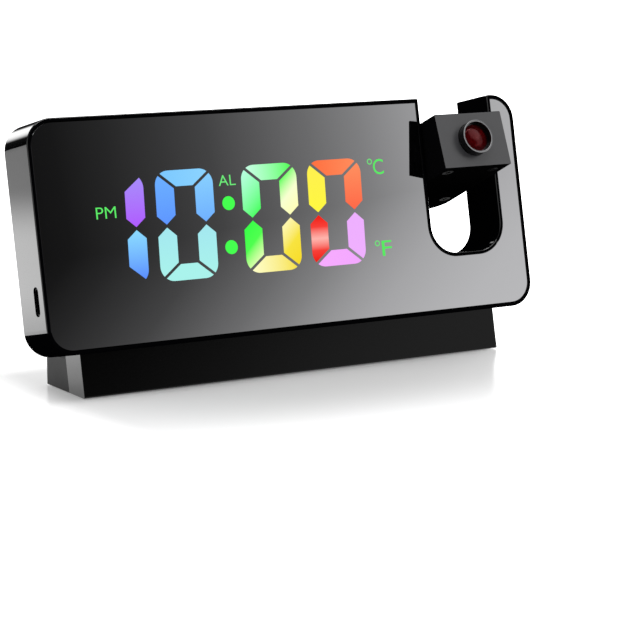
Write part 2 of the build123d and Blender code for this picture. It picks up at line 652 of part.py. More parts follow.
with BuildPart() as temperature_sensor:
    with BuildSketch(at_depth(BOARD_BACK_N)):
        with Locations((SENSOR_X, SENSOR_U)):
            Circle(SENSOR_D / 2)
    extrude(amount=-SENSOR_L)
    fillet(temperature_sensor.faces().sort_by(BACKWARD)[-1].edges(), SENSOR_DOME)
write(temperature_sensor, "temperature_sensor")

with BuildPart() as cell_holder:
    with BuildSketch(at_depth(BOARD_BACK_N)):
        with Locations((CELL_X, CELL_U)):
            Circle(CELL_D / 2 + CELL_FIT + CUP_WALL)
    extrude(amount=-(CUP_FLOOR + CELL_T))
    with BuildSketch(at_depth(BOARD_BACK_N + CUP_FLOOR)):
        with Locations((CELL_X, CELL_U)):
            Circle(CELL_D / 2 + CELL_FIT)
            Rectangle(CELL_D + 4 * CUP_WALL, CUP_NOTCH_W)
    extrude(amount=-CELL_T, mode=Mode.SUBTRACT)
write(cell_holder, "cell_holder")

with BuildPart() as coin_cell:
    with BuildSketch(at_depth(BOARD_BACK_N + CUP_FLOOR)):
        with Locations((CELL_X, CELL_U)):
            Circle(CELL_D / 2)
    extrude(amount=-CELL_T)
    chamfer(coin_cell.faces().sort_by(BACKWARD)[-1].edges(), CELL_EDGE)
write(coin_cell, "coin_cell")

# ---- USB-C inlet --------------------------------------------------------------------------------------------
USB_N = BOARD_N - USB_T / 2
with BuildPart() as usb_shell:
    with BuildSketch(SIDE.offset(-BODY_W / 2 + USB_SINK)):
        with Locations((USB_N, USB_U)):
            RectangleRounded(USB_T, USB_W, USB_T / 2 - USB_FLAT)
            RectangleRounded(USB_T - 2 * USB_SKIN, USB_W - 2 * USB_SKIN,
                             USB_T / 2 - USB_SKIN - USB_FLAT, mode=Mode.SUBTRACT)
    extrude(amount=USB_L)
write(usb_shell, "usb_shell")

with BuildPart() as usb_tongue:
    with BuildSketch(SIDE.offset(-BODY_W / 2 + USB_SINK + USB_L)):
        with Locations((USB_N, USB_U)):
            RectangleRounded(USB_T - 2 * USB_SKIN - 2 * WINDOW_FIT,
                             USB_W - 2 * USB_SKIN - 2 * WINDOW_FIT, USB_T / 2 - USB_SKIN - WINDOW_FIT - USB_FLAT)
    extrude(amount=-(USB_L - TONGUE_L - TONGUE_SINK))
    with BuildSketch(SIDE.offset(-BODY_W / 2 + USB_SINK + TONGUE_L + TONGUE_SINK)):
        with Locations((USB_N, USB_U)):
            Rectangle(TONGUE_T, TONGUE_W)
    extrude(amount=-TONGUE_L)
write(usb_tongue, "usb_tongue")

# ---- Rear keys and snooze bar -----------------------------------------------------------------------------
KEY_NAMES = ("key_projector", "key_set", "key_down", "key_up", "key_alarm")
KEY_STEM_N = PLUNGER_N + TRAVEL + TRAVEL_REST
for key_name, key_x in zip(KEY_NAMES, KEY_XS):
    with BuildPart() as key:
        with BuildSketch(at_depth(COVER_N - FLANGE_GAP)):
            with Locations((key_x, KEY_U)):
                Circle(KEY_D / 2)
        extrude(amount=-(FLANGE_GAP + COVER_T + KEY_PROUD))
        fillet(key.faces().sort_by(BACKWARD)[-1].edges(), KEY_EDGE_R)
        with BuildSketch(at_depth(COVER_N - FLANGE_GAP)):
            with Locations((key_x, KEY_U)):
                Circle(KEY_FLANGE_D / 2)
        extrude(amount=FLANGE_T)
        with BuildSketch(at_depth(KEY_STEM_N)):
            with Locations((key_x, KEY_U)):
                Circle(STEM_D / 2)
        extrude(amount=-(COVER_N - FLANGE_GAP - FLANGE_T - KEY_STEM_N))
    write(key, key_name)

with BuildPart() as snooze_bar:
    with BuildSketch(at_height(SNOOZE_FLANGE_U)):
        with Locations((SNOOZE_X, SNOOZE_N)):
            RectangleRounded(SNOOZE_W, SNOOZE_D, SNOOZE_D / 2 - KEY_GAP)
    extrude(amount=WALL + FLANGE_GAP)
    with BuildSketch(at_height(SNOOZE_FLANGE_U)):
        with Locations((SNOOZE_X, SNOOZE_N)):
            RectangleRounded(SNOOZE_W + 2 * SNOOZE_FLANGE, SNOOZE_D + 2 * SNOOZE_FLANGE, SNOOZE_D / 2)
    extrude(amount=-FLANGE_T)
    with BuildSketch(at_height(SNOOZE_PLUNGER_U + TRAVEL + TRAVEL_REST)):
        with Locations((SNOOZE_X, SNOOZE_N)):
            Circle(STEM_D / 2)
    extrude(amount=SNOOZE_FLANGE_U - FLANGE_T - SNOOZE_PLUNGER_U - TRAVEL - TRAVEL_REST)
write(snooze_bar, "snooze_bar")

# ---- Base -------------------------------------------------------------------------------------------------------
def on_plane(n, z):
    """Where the plane at depth n behind the face meets height z: its y and z."""
    u = (z - FACE_LIFT + n * SIN_L) / COS_L
    return FACE_Y + u * SIN_L + n * COS_L, z


def on_body(n, u):
    """The y and z of a place on the leaning body."""
    return FACE_Y + u * SIN_L + n * COS_L, FACE_LIFT + u * COS_L - n * SIN_L


PLINTH_BACK = BASE_SETBACK + PLINTH_T
BASE_Z = PAD_PROUD
PLATE_TOP = BASE_Z + PLATE_T
BASE_FRONT_Y = on_plane(BASE_SETBACK, BASE_Z)[0]
BASE_REAR_Y = BASE_FRONT_Y + BASE_DEPTH
PLATE_FRONT_Y = on_plane(BASE_SETBACK, PLATE_TOP)[0] + BASE_WALL + PLATE_FIT
PLATE_REAR_Y = BASE_REAR_Y - BASE_WALL - PLATE_FIT - FOOT_TOP * tan(radians(FOOT_DRAFT))
PLATE_Y = (PLATE_FRONT_Y + PLATE_REAR_Y) / 2
PLATE_D = PLATE_REAR_Y - PLATE_FRONT_Y
PLATE_W = BASE_W - 2 * (BASE_WALL + PLATE_FIT)
PLINTH_POST_Y = on_plane(BASE_SETBACK + PLINTH_T / 2, (PLATE_TOP + FOOT_TOP) / 2)[0]
FOOT_POST_Y = (on_plane(PLINTH_BACK, FOOT_TOP)[0] + BASE_REAR_Y) / 2
POSTS = [(x, y) for x in (POST_END - BASE_W / 2, BASE_W / 2 - POST_END)
         for y in (PLINTH_POST_Y, FOOT_POST_Y)]
POST_TOP = on_body(BASE_SETBACK + PLINTH_T / 2, -BASE_WALL / 2)[1]
PADS = [(x, y) for x in (PAD_END - BASE_W / 2, BASE_W / 2 - PAD_END)
        for y in (PLATE_Y - PLATE_D / 2 + PAD_D / 2 + PAD_IN, PLATE_Y + PLATE_D / 2 - PAD_D / 2 - PAD_IN)]


def discs(plane, places, radius):
    """Round faces of one radius at places on a plane."""
    with BuildSketch(plane) as sketch:
        with Locations(*places):
            Circle(radius)
    return sketch.sketch


def crosses(plane, places):
    """The cross recesses of screw heads at places on a plane."""
    with BuildSketch(plane) as sketch:
        with Locations(*places):
            Rectangle(CROSS_L, CROSS_W)
            Rectangle(CROSS_W, CROSS_L)
    return sketch.sketch


def plate_space():
    """Cuts the room for the base plate out of the current part."""
    with BuildSketch() as room:
        with Locations((0, PLATE_Y)):
            Rectangle(PLATE_W + 2 * PLATE_FIT, PLATE_D + 2 * PLATE_FIT)
    extrude(room.sketch, amount=PLATE_TOP, mode=Mode.SUBTRACT)


def posts(plane, places, length):
    """Adds screw posts that stand on a plane to the current part."""
    extrude(discs(plane, places, POST_D / 2), amount=length)
    extrude(discs(plane, places, SCREW_D / 2 + THREAD_FIT), amount=SCREW_L, mode=Mode.SUBTRACT)


with BuildPart() as base_front:
    with BuildSketch(Plane.YZ):
        Polygon(on_plane(BASE_SETBACK, BASE_Z), on_body(BASE_SETBACK, 0), on_body(PLINTH_BACK, 0),
                on_plane(PLINTH_BACK, BASE_Z), align=None)
    extrude(amount=BASE_W / 2, both=True)
    fillet(base_front.edges().filter_by(Axis.X).sort_by(Axis.Y)[0], EDGE_R)
    with BuildSketch(Plane.YZ):
        Polygon(on_plane(BASE_SETBACK + BASE_WALL, 0), on_body(BASE_SETBACK + BASE_WALL, -BASE_WALL),
                on_body(PLINTH_BACK - BASE_WALL, -BASE_WALL), on_plane(PLINTH_BACK - BASE_WALL, 0),
                align=None)
    extrude(amount=BASE_W / 2 - BASE_WALL, both=True, mode=Mode.SUBTRACT)
    posts(Plane.XY.offset(PLATE_TOP), POSTS[0::2], POST_TOP - PLATE_TOP)
    with BuildSketch(at_height(0)):
        with Locations(*BODY_SCREWS):
            Circle(SCREW_D / 2 + SCREW_FIT)
    extrude(amount=-2 * BASE_WALL, mode=Mode.SUBTRACT)
    plate_space()
write(base_front, "base_front")

with BuildPart() as base_foot:
    with BuildSketch(Plane.YZ):
        Polygon(on_plane(PLINTH_BACK, BASE_Z), on_plane(PLINTH_BACK, FOOT_TOP),
                (BASE_REAR_Y - FOOT_TOP * tan(radians(FOOT_DRAFT)), FOOT_TOP),
                (BASE_REAR_Y, BASE_Z), align=None)
    extrude(amount=BASE_W / 2, both=True)
    fillet(base_foot.edges().filter_by(Axis.X).group_by(Axis.Z)[-1].sort_by(Axis.Y)[-1], FOOT_ROUND)
    with BuildSketch(Plane.YZ):
        Polygon(on_plane(PLINTH_BACK + BASE_WALL, 0),
                on_plane(PLINTH_BACK + BASE_WALL, FOOT_TOP - BASE_WALL),
                (BASE_REAR_Y - BASE_WALL - FOOT_ROUND / 2, FOOT_TOP - BASE_WALL),
                (BASE_REAR_Y - BASE_WALL - FOOT_ROUND / 2, 0), align=None)
    extrude(amount=BASE_W / 2 - BASE_WALL, both=True, mode=Mode.SUBTRACT)
    posts(Plane.XY.offset(PLATE_TOP), POSTS[1::2], FOOT_TOP - BASE_WALL / 2 - PLATE_TOP)
    plate_space()
write(base_foot, "base_foot")

with BuildPart() as base_plate:
    with BuildSketch(Plane.XY.offset(BASE_Z)):
        with Locations((0, PLATE_Y)):
            Rectangle(PLATE_W, PLATE_D)
        with Locations(*POSTS):
            Circle(SCREW_D / 2 + SCREW_FIT, mode=Mode.SUBTRACT)
    extrude(amount=PLATE_T)
    with BuildSketch(Plane.XY.offset(BASE_Z)):
        with Locations(*POSTS):
            Circle(SCREW_HEAD_D / 2 + SCREW_FIT)
        with Locations(*PADS):
            Circle(PAD_D / 2 + WINDOW_FIT)
    extrude(amount=HEAD_RECESS, mode=Mode.SUBTRACT)
write(base_plate, "base_plate")

with BuildPart() as rubber_feet:
    with BuildSketch():
        with Locations(*PADS):
            Circle(PAD_D / 2)
    extrude(amount=PAD_PROUD + HEAD_RECESS)
write(rubber_feet, "rubber_feet")


# ---- Screws --------------------------------------------------------------------------------------------------
def screws(plane, places):
    """Adds screws to the current part: heads seated on a plane, threads along its normal."""
    extrude(discs(plane, places, SCREW_HEAD_D / 2), amount=-HEAD_RECESS)
    extrude(discs(plane, places, SCREW_D / 2), amount=SCREW_L)
    extrude(crosses(plane.offset(-HEAD_RECESS), places), amount=CROSS_T, mode=Mode.SUBTRACT)


with BuildPart() as case_screws:
    screws(at_depth(BODY_T - HEAD_RECESS), CASE_BOSSES)
write(case_screws, "case_screws")

with BuildPart() as board_screws:
    extrude(discs(at_depth(BOARD_BACK_N), BOARD_BOSSES, SCREW_HEAD_D / 2), amount=-SCREW_HEAD_T)
    extrude(discs(at_depth(BOARD_BACK_N), BOARD_BOSSES, SCREW_D / 2),
            amount=BOARD_BACK_N - CAVITY_N)
    extrude(crosses(at_depth(BOARD_BACK_N + SCREW_HEAD_T), BOARD_BOSSES), amount=CROSS_T,
            mode=Mode.SUBTRACT)
write(board_screws, "board_screws")

with BuildPart() as body_screws:
    screws(at_height(-BASE_WALL), BODY_SCREWS)
write(body_screws, "body_screws")

with BuildPart() as base_screws:
    screws(Plane.XY.offset(BASE_Z + HEAD_RECESS), POSTS)
write(base_screws, "base_screws")

# ---- Projector head -----------------------------------------------------------------------------------------
HEAD_INSIDE = HEAD_W / 2 - HEAD_WALL
UNDER = Plane(
    origin=HEAD_PLAN.from_local_coords((0, 0, underside(0))), x_dir=(1, 0, 0),
    z_dir=HEAD_SIDE.from_local_coords((sin(radians(HEAD_TAPER)), cos(radians(HEAD_TAPER)), 0))
    - Vector(PIVOT))
HEAD_POSTS = [(x, back) for x in (-HEAD_POST_X, HEAD_POST_X)
              for back in (HEAD_POST_FRONT, HEAD_POST_REAR)]


def head_profile(inset, top, floor=None):
    """The head's outline from its side, pulled in at its ends; it may stop at a floor height."""
    front, rear = inset - HEAD_FRONT, HEAD_REAR - inset
    drop = 0 if floor is None else floor
    with BuildSketch(HEAD_SIDE) as sketch:
        Polygon((front, top), (rear, top), (rear, underside(rear) + drop),
                (front, underside(front) + drop), align=None)
    return sketch.sketch


with BuildPart() as head_space:
    extrude(head_profile(HEAD_WALL, HEAD_H / 2 - HEAD_WALL, -HEAD_WALL), amount=HEAD_INSIDE, both=True)
    fillet(head_space.edges().filter_by(Axis(PIVOT, HEAD_UP)).sort_by(Axis(PIVOT, HEAD_BACK))[-2:],
           HEAD_CORNER_R - HEAD_WALL)

with BuildPart() as projector_case:
    extrude(head_profile(0, HEAD_H / 2), amount=HEAD_W / 2, both=True)
    fillet(projector_case.edges().filter_by(Axis(PIVOT, HEAD_UP)).sort_by(Axis(PIVOT, HEAD_BACK))[-2:],
           HEAD_CORNER_R)
    fillet(projector_case.faces().sort_by(Axis(PIVOT, HEAD_UP))[-1].edges(), HEAD_EDGE_R)
    add(head_space.part, mode=Mode.SUBTRACT)
    for x, back in HEAD_POSTS:
        posts(UNDER.offset(BOTTOM_T), [(x, back)],
              HEAD_H / 2 - HEAD_WALL / 2 - BOTTOM_T - underside(back))
    for side in (-1, 1):
        extrude(discs(HINGE.offset(side * HEAD_INSIDE), [(0, 0)], PIN_BOSS_D / 2),
                amount=-side * PIN_BOSS_L)
        extrude(discs(HINGE.offset(side * HEAD_W / 2), [(0, 0)], PIN_D / 2 + PRESS_FIT),
                amount=-side * (HEAD_WALL + PIN_BOSS_L), mode=Mode.SUBTRACT)
    extrude(discs(HEAD_AIM.offset(HEAD_FRONT), [(0, 0)], RING_D / 2 + RING_FIT),
            amount=-HEAD_WALL, mode=Mode.SUBTRACT)
write(projector_case, "projector_case")

with BuildPart() as projector_bottom:
    with BuildSketch(HEAD_SIDE):
        front, rear = HEAD_WALL + BOTTOM_FIT - HEAD_FRONT, HEAD_REAR - HEAD_WALL - BOTTOM_FIT
        Polygon((front, underside(front) + BOTTOM_T), (rear, underside(rear) + BOTTOM_T),
                (rear, underside(rear)), (front, underside(front)), align=None)
    extrude(amount=HEAD_INSIDE - BOTTOM_FIT, both=True)
    fillet(projector_bottom.edges().filter_by(Axis(PIVOT, HEAD_UP))
           .sort_by(Axis(PIVOT, HEAD_BACK))[-2:], HEAD_CORNER_R - HEAD_WALL - BOTTOM_FIT)
    extrude(discs(UNDER, HEAD_POSTS, SCREW_D / 2 + SCREW_FIT), amount=2 * BOTTOM_T,
            mode=Mode.SUBTRACT)
    extrude(discs(UNDER, HEAD_POSTS, SCREW_HEAD_D / 2 + SCREW_FIT), amount=HEAD_RECESS,
            mode=Mode.SUBTRACT)
write(projector_bottom, "projector_bottom")

with BuildPart() as projector_screws:
    screws(UNDER.offset(HEAD_RECESS), HEAD_POSTS)
write(projector_screws, "projector_screws")

# ---- Hinge: on each side a hollow pin fixed in the head that turns in a flanged bush --------------
PIN_INNER = HEAD_INSIDE - PIN_BOSS_L            # collar's seat, from the middle of the head
BUSH_OUTER = SLOT_W / 2 + WALL + BEARING_L
CLIP_INNER = BUSH_OUTER + BUSH_FLANGE_T + CLIP_FIT
PIN_OUTER = CLIP_INNER + CLIP_T + PIN_END
for side, side_name in ((-1, "left"), (1, "right")):
    with BuildPart() as pin:
        extrude(discs(HINGE.offset(side * PIN_INNER), [(0, 0)], PIN_COLLAR_D / 2),
                amount=-side * PIN_COLLAR_T)
        extrude(discs(HINGE.offset(side * PIN_INNER), [(0, 0)], PIN_D / 2),
                amount=side * (PIN_OUTER - PIN_INNER))
        with BuildSketch(HINGE.offset(side * (CLIP_INNER - CLIP_FIT / 2))):
            Circle(PIN_D)
            Circle(GROOVE_D / 2, mode=Mode.SUBTRACT)
        extrude(amount=side * (CLIP_T + CLIP_FIT), mode=Mode.SUBTRACT)
        extrude(discs(HINGE.offset(side * (PIN_INNER - PIN_COLLAR_T)), [(0, 0)], PIN_BORE_D / 2),
                amount=side * PIN_OUTER, mode=Mode.SUBTRACT)
    write(pin, f"hinge_pin_{side_name}")

    with BuildPart() as bush:
        extrude(discs(HINGE.offset(side * SLOT_W / 2), [(0, 0)], BUSH_D / 2),
                amount=side * (WALL + BEARING_L))
        extrude(discs(HINGE.offset(side * BUSH_OUTER), [(0, 0)], BUSH_FLANGE_D / 2),
                amount=side * BUSH_FLANGE_T)
        extrude(discs(HINGE.offset(side * SLOT_W / 2), [(0, 0)], PIN_D / 2 + RUN_FIT),
                amount=side * (WALL + BEARING_L + BUSH_FLANGE_T), mode=Mode.SUBTRACT)
    write(bush, f"hinge_bush_{side_name}")

    with BuildPart() as clip:
        with BuildSketch(HINGE.offset(side * CLIP_INNER)):
            Circle(CLIP_D / 2)
            Circle(GROOVE_D / 2, mode=Mode.SUBTRACT)
            with Locations((0, -CLIP_D / 2)):
                Rectangle(CLIP_MOUTH, CLIP_D, mode=Mode.SUBTRACT)
        extrude(amount=side * CLIP_T)
    write(clip, f"hinge_clip_{side_name}")

    with BuildPart() as washer:
        with BuildSketch(HINGE.offset(side * (HEAD_W / 2 + WASHER_GAP))):
            Circle(WASHER_D / 2)
            Circle(PIN_D / 2 + RUN_FIT, mode=Mode.SUBTRACT)
        extrude(amount=side * (SIDE_GAP - 2 * WASHER_GAP))
    write(washer, f"friction_washer_{side_name}")

# ---- Optics -----------------------------------------------------------------------------------------------------
def ahead(distance):
    """The plane square to the beam, a distance ahead of the pivot."""
    return HEAD_AIM.offset(distance)


def lens_shape(front, radius, edge, front_sag, rear_sag, seat=0.0):
    """Half the section of a round lens; front is where its rim starts, ahead of the pivot."""
    def middle(width, sag):
        curve = (width ** 2 + sag ** 2) / (2 * sag)
        return (curve ** 2 - width ** 2 / 4) ** 0.5 - (curve - sag)

    inner = radius - seat

    with BuildSketch(HEAD_SIDE) as section:
        with BuildLine():
            ThreePointArc((-front - front_sag, 0), (-front - middle(radius, front_sag), radius / 2),
                          (-front, radius))
            Polyline((-front, radius), (edge - front, radius), (edge - front, inner))
            if rear_sag:
                ThreePointArc((edge - front, inner),
                              (edge - front + middle(inner, rear_sag), inner / 2),
                              (edge - front + rear_sag, 0))
            Line((edge - front + rear_sag, 0), (-front - front_sag, 0))
        make_face()
    return section.sketch


RING_TIP = HEAD_FRONT + RING_PROUD
RING_REAR = HEAD_FRONT - HEAD_WALL - RING_FIT - RING_FLANGE_T
CELL_TIP = HEAD_FRONT + CELL_FRONT
TUBE_D = RING_BORE_D - 2 * RUN_FIT
LENS_R = TUBE_D / 2 - CELL_TUBE_T
HOLDER_FRONT = HOLDER_S + HOLDER_T

with BuildPart() as focus_ring:
    extrude(discs(ahead(RING_REAR), [(0, 0)], RING_FLANGE_D / 2), amount=RING_FLANGE_T)
    extrude(discs(ahead(RING_REAR), [(0, 0)], RING_D / 2), amount=RING_TIP - RING_REAR)
    extrude(discs(ahead(RING_REAR), [(0, 0)], RING_BORE_D / 2), amount=RING_TIP - RING_REAR,
            mode=Mode.SUBTRACT)
    chamfer(focus_ring.faces().sort_by(BEAM_AXIS)[-1].edges(), RING_CHAMFER)
write(focus_ring, "focus_ring")

with BuildPart() as lens_cell:
    extrude(discs(ahead(CELL_TIP), [(0, 0)], TUBE_D / 2), amount=-CELL_LENGTH)
    extrude(discs(ahead(CELL_TIP), [(0, 0)], LENS_R - CELL_SEAT), amount=-CELL_LENGTH,
            mode=Mode.SUBTRACT)
    extrude(discs(ahead(CELL_TIP), [(0, 0)], LENS_R), amount=-(CELL_RIM + LENS_EDGE_T),
            mode=Mode.SUBTRACT)
write(lens_cell, "lens_cell")

with BuildPart() as projection_lens:
    revolve(lens_shape(CELL_TIP - CELL_RIM, LENS_R - PRESS_FIT, LENS_EDGE_T, LENS_FRONT_SAG,
                       LENS_REAR_SAG, CELL_SEAT + PART_FIT), axis=BEAM_AXIS)
write(projection_lens, "projection_lens")


def head_panel(front, thickness):
    """A panel that fills the inside of the head, its front a distance ahead of the pivot."""
    top = HEAD_H / 2 - HEAD_WALL - PART_FIT
    low = underside(-front) + BOTTOM_T + PART_FIT
    with BuildSketch(ahead(front)) as panel:
        with Locations((0, (top + low) / 2)):
            Rectangle(2 * (HEAD_INSIDE - PART_FIT), top - low)
    extrude(panel.sketch, amount=-thickness)


with BuildPart() as slide_holder:
    head_panel(HOLDER_FRONT, HOLDER_T)
    extrude(discs(ahead(HOLDER_FRONT), [(0, 0)], RING_FLANGE_D / 2),
            amount=RING_REAR - RING_FIT - HOLDER_FRONT)
    extrude(discs(ahead(HOLDER_FRONT), [(0, 0)], TUBE_D / 2 + RUN_FIT),
            amount=RING_REAR - RING_FIT - HOLDER_FRONT, mode=Mode.SUBTRACT)
    with BuildSketch(ahead(HOLDER_S)):
        Rectangle(WINDOW_W, WINDOW_H)
    extrude(amount=HOLDER_T, mode=Mode.SUBTRACT)
    with BuildSketch(ahead(HOLDER_S)):
        Rectangle(SLIDE_W + 2 * PART_FIT, SLIDE_H + 2 * PART_FIT)
    extrude(amount=CONDENSER_EDGE_T + SLIDE_T, mode=Mode.SUBTRACT)
    extrude(discs(ahead(HOLDER_S), [(0, 0)], CONDENSER_D / 2 + PRESS_FIT),
            amount=CONDENSER_EDGE_T, mode=Mode.SUBTRACT)
write(slide_holder, "slide_holder")

with BuildPart() as lcd_slide:
    with BuildSketch(ahead(HOLDER_S + CONDENSER_EDGE_T)):
        Rectangle(SLIDE_W, SLIDE_H)
    extrude(amount=SLIDE_T)
write(lcd_slide, "lcd_slide")

with BuildPart() as condenser_lens:
    section = lens_shape(-HOLDER_S, CONDENSER_D / 2, CONDENSER_EDGE_T, CONDENSER_SAG, 0,
                         CONDENSER_D / 2)
    revolve(mirror(section, about=Plane(PIVOT, x_dir=(1, 0, 0), z_dir=BEAM), mode=Mode.PRIVATE),
            axis=BEAM_AXIS)
write(condenser_lens, "condenser_lens")

with BuildPart() as lamp_board:
    head_panel(LAMP_BOARD_S, LAMP_BOARD_T)
write(lamp_board, "lamp_board")

with BuildPart() as red_led:
    extrude(discs(ahead(LAMP_BOARD_S), [(0, 0)], LED_BASE_D / 2), amount=LED_BASE_T)
    extrude(discs(ahead(LAMP_BOARD_S), [(0, 0)], LED_D / 2), amount=LED_L)
    fillet(red_led.faces().sort_by(BEAM_AXIS)[-1].edges(), LED_D / 2 - LED_FLAT)
write(red_led, "red_led")
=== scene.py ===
"""Looks of the projection alarm clock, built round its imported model.

Lengths are millimetres until they reach Blender, which works in metres.
"""

from __future__ import annotations

import logging
import math
from abc import ABC, abstractmethod
from collections.abc import Callable
from dataclasses import dataclass, field
from enum import Enum
from functools import cached_property, reduce

import bmesh
import bpy
from mathutils import Matrix, Vector


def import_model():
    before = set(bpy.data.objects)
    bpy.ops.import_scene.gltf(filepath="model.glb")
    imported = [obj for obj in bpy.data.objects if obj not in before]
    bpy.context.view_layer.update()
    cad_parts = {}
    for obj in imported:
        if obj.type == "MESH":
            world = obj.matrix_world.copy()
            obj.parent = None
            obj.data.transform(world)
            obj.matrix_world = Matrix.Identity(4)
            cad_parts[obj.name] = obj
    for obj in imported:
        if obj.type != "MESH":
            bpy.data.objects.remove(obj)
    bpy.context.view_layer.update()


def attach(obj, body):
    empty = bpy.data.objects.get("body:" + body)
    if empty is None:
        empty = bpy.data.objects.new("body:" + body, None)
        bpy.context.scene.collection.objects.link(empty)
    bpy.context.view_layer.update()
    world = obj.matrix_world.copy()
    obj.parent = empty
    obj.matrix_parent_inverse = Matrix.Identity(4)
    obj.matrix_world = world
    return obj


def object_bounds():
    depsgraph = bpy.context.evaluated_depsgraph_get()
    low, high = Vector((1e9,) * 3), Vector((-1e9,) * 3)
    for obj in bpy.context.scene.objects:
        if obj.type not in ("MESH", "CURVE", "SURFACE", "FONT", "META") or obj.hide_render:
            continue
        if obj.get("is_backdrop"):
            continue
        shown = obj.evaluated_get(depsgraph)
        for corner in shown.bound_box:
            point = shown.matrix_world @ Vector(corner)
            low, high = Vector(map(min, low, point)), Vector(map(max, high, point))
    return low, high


LOG = logging.getLogger("projection_clock")
MM = 0.001
ACRYLIC_IOR = 1.49
INK_PROUD = 0.02
TINY = 1e-6
RIGHT = Vector((1, 0, 0))
WHITE = (1.0, 1.0, 1.0, 1.0)

Colour = tuple[float, ...]
Mesh = bpy.types.Mesh
Socket = bpy.types.NodeSocket


# ---- Small helpers
def to_linear(code: str) -> Colour:
    """Turns an sRGB hex colour into linear RGBA.

    Args:
        code: Six hex digits.

    Returns:
        Red, green, blue and an alpha of 1.
    """
    channels = [int(code[i:i + 2], 16) / 255 for i in (0, 2, 4)]
    linear = [c / 12.92 if c <= 0.04045 else ((c + 0.055) / 1.055) ** 2.4 for c in channels]
    return *linear, 1.0


def paint(mesh: Mesh, colour_at: Callable[[Vector], Colour]) -> None:
    """Writes the attribute "lit" of a mesh.

    Args:
        mesh: The mesh.
        colour_at: Gives the linear colour of a place in metres.
    """
    layer = mesh.color_attributes.new("lit", "FLOAT_COLOR", "POINT")
    for vertex, value in zip(mesh.vertices, layer.data):
        value.color = colour_at(vertex.co)


def ring_mesh(name: str, frame: Matrix, outer: float, inner: float, sides: int = 32) -> Mesh:
    """Makes a flat ring.

    Args:
        name: The mesh's name.
        frame: Its place, in metres.
        outer: Its outer radius, in millimetres.
        inner: Its inner radius, in millimetres.
        sides: How many sides it has.

    Returns:
        The mesh.
    """
    mesh = bpy.data.meshes.new(name)
    turns = [2 * math.pi * i / sides for i in range(sides)]
    points = [frame @ Vector((r * MM * math.cos(t), r * MM * math.sin(t), 0))
              for r in (inner, outer) for t in turns]
    faces = [[i, sides + i, sides + (i + 1) % sides, (i + 1) % sides] for i in range(sides)]
    mesh.from_pydata(points, [], faces)
    return mesh


def add_object(name: str, data: bpy.types.ID) -> bpy.types.Object:
    """Makes an object and links it to the scene.

    Args:
        name: The object's name.
        data: Its mesh, curve, light or camera.

    Returns:
        The object.
    """
    obj = bpy.data.objects.new(name, data)
    bpy.context.scene.collection.objects.link(obj)
    return obj


class Nodes:
    """The nodes of one material or of the world.

    Attributes:
        tree: The node tree that they are added to.
    """

    def __init__(self, owner: bpy.types.Material | bpy.types.World) -> None:
        """Takes the owner's node tree and empties it.

        Args:
            owner: The material or the world.
        """
        owner.use_nodes = True
        self.tree = owner.node_tree
        self.tree.nodes.clear()

    def add(self, kind: str, links: dict | None = None, **settings: object) -> bpy.types.Node:
        """Adds a node, sets its inputs and properties, and links what is given as sockets.

        Args:
            kind: The node's type, without the ShaderNode prefix.
            links: Input name or number to an output socket or a plain value.
            **settings: The node's own properties.

        Returns:
            The new node.
        """
        node = self.tree.nodes.new(f"ShaderNode{kind}")
        for name, value in settings.items():
            setattr(node, name, value)
        for key, value in (links or {}).items():
            if isinstance(value, Socket):
                self.tree.links.new(value, node.inputs[key])
            else:
                node.inputs[key].default_value = value
        return node

    def shader(self, kind: str, links: dict) -> Socket:
        """Adds a shader node and returns its output."""
        return self.add(kind, links).outputs[0]

    def maths(self, operation: str, *values: object) -> Socket:
        """Adds a Math node and returns its output."""
        return self.add("Math", dict(enumerate(values)), operation=operation).outputs[0]

    def chain(self, operation: str, *values: object) -> Socket:
        """Joins several values in turn by one Math operation and returns the result."""
        return reduce(lambda one, two: self.maths(operation, one, two), values)

    def vectors(self, operation: str, *values: object, output: str = "Value") -> Socket:
        """Adds a Vector Math node and returns one of its outputs."""
        links = dict(enumerate(values))
        return self.add("VectorMath", links, operation=operation).outputs[output]

    def span(self, value: Socket, source: tuple[float, float],
             target: tuple[float, float] = (0.0, 1.0), smooth: bool = False) -> Socket:
        """Maps a value from one range to another, and holds it at both ends."""
        return self.add("MapRange", {
            "Value": value, "From Min": source[0], "From Max": source[1],
            "To Min": target[0], "To Max": target[1]},
            interpolation_type="SMOOTHSTEP" if smooth else "LINEAR").outputs[0]

    def mix(self, factor: Socket, one: object, two: object) -> Socket:
        """Blends two numbers by a factor."""
        return self.add("Mix", {"Factor": factor, "A": one, "B": two}).outputs[0]

    def mix_colours(self, factor: Socket, one: str, two: str) -> Socket:
        """Blends two sRGB hex colours by a factor."""
        links = {"Factor": factor, "A": to_linear(one), "B": to_linear(two)}
        return self.add("Mix", links, data_type="RGBA").outputs["Result"]

    @cached_property
    def at(self) -> Socket:
        """Object coordinates in millimetres, so that patterns keep their real size."""
        coords = self.add("TexCoord").outputs["Object"]
        return self.add("VectorMath", {0: coords, "Scale": 1 / MM}, operation="SCALE").outputs[0]

    def noise(self, scale: float, detail: float = 2.0) -> Socket:
        """Adds soft noise with so many patches to a millimetre."""
        links = {"Vector": self.at, "Scale": scale, "Detail": detail}
        return self.add("TexNoise", links).outputs["Fac"]

    def facing(self, way: Vector, least: float = 0.9, soft: float = 0.0) -> Socket:
        """Tells where the surface faces a direction at rest.

        Args:
            way: The direction.
            least: Cosine from which it counts as facing.
            soft: How far either side of that cosine it fades.

        Returns:
            1 where it faces that way and 0 elsewhere.
        """
        cosine = self.vectors("DOT_PRODUCT", self.add("TexCoord").outputs["Normal"], way)
        if not soft:
            return self.maths("GREATER_THAN", cosine, least)
        return self.span(cosine, (least - soft, least + soft))


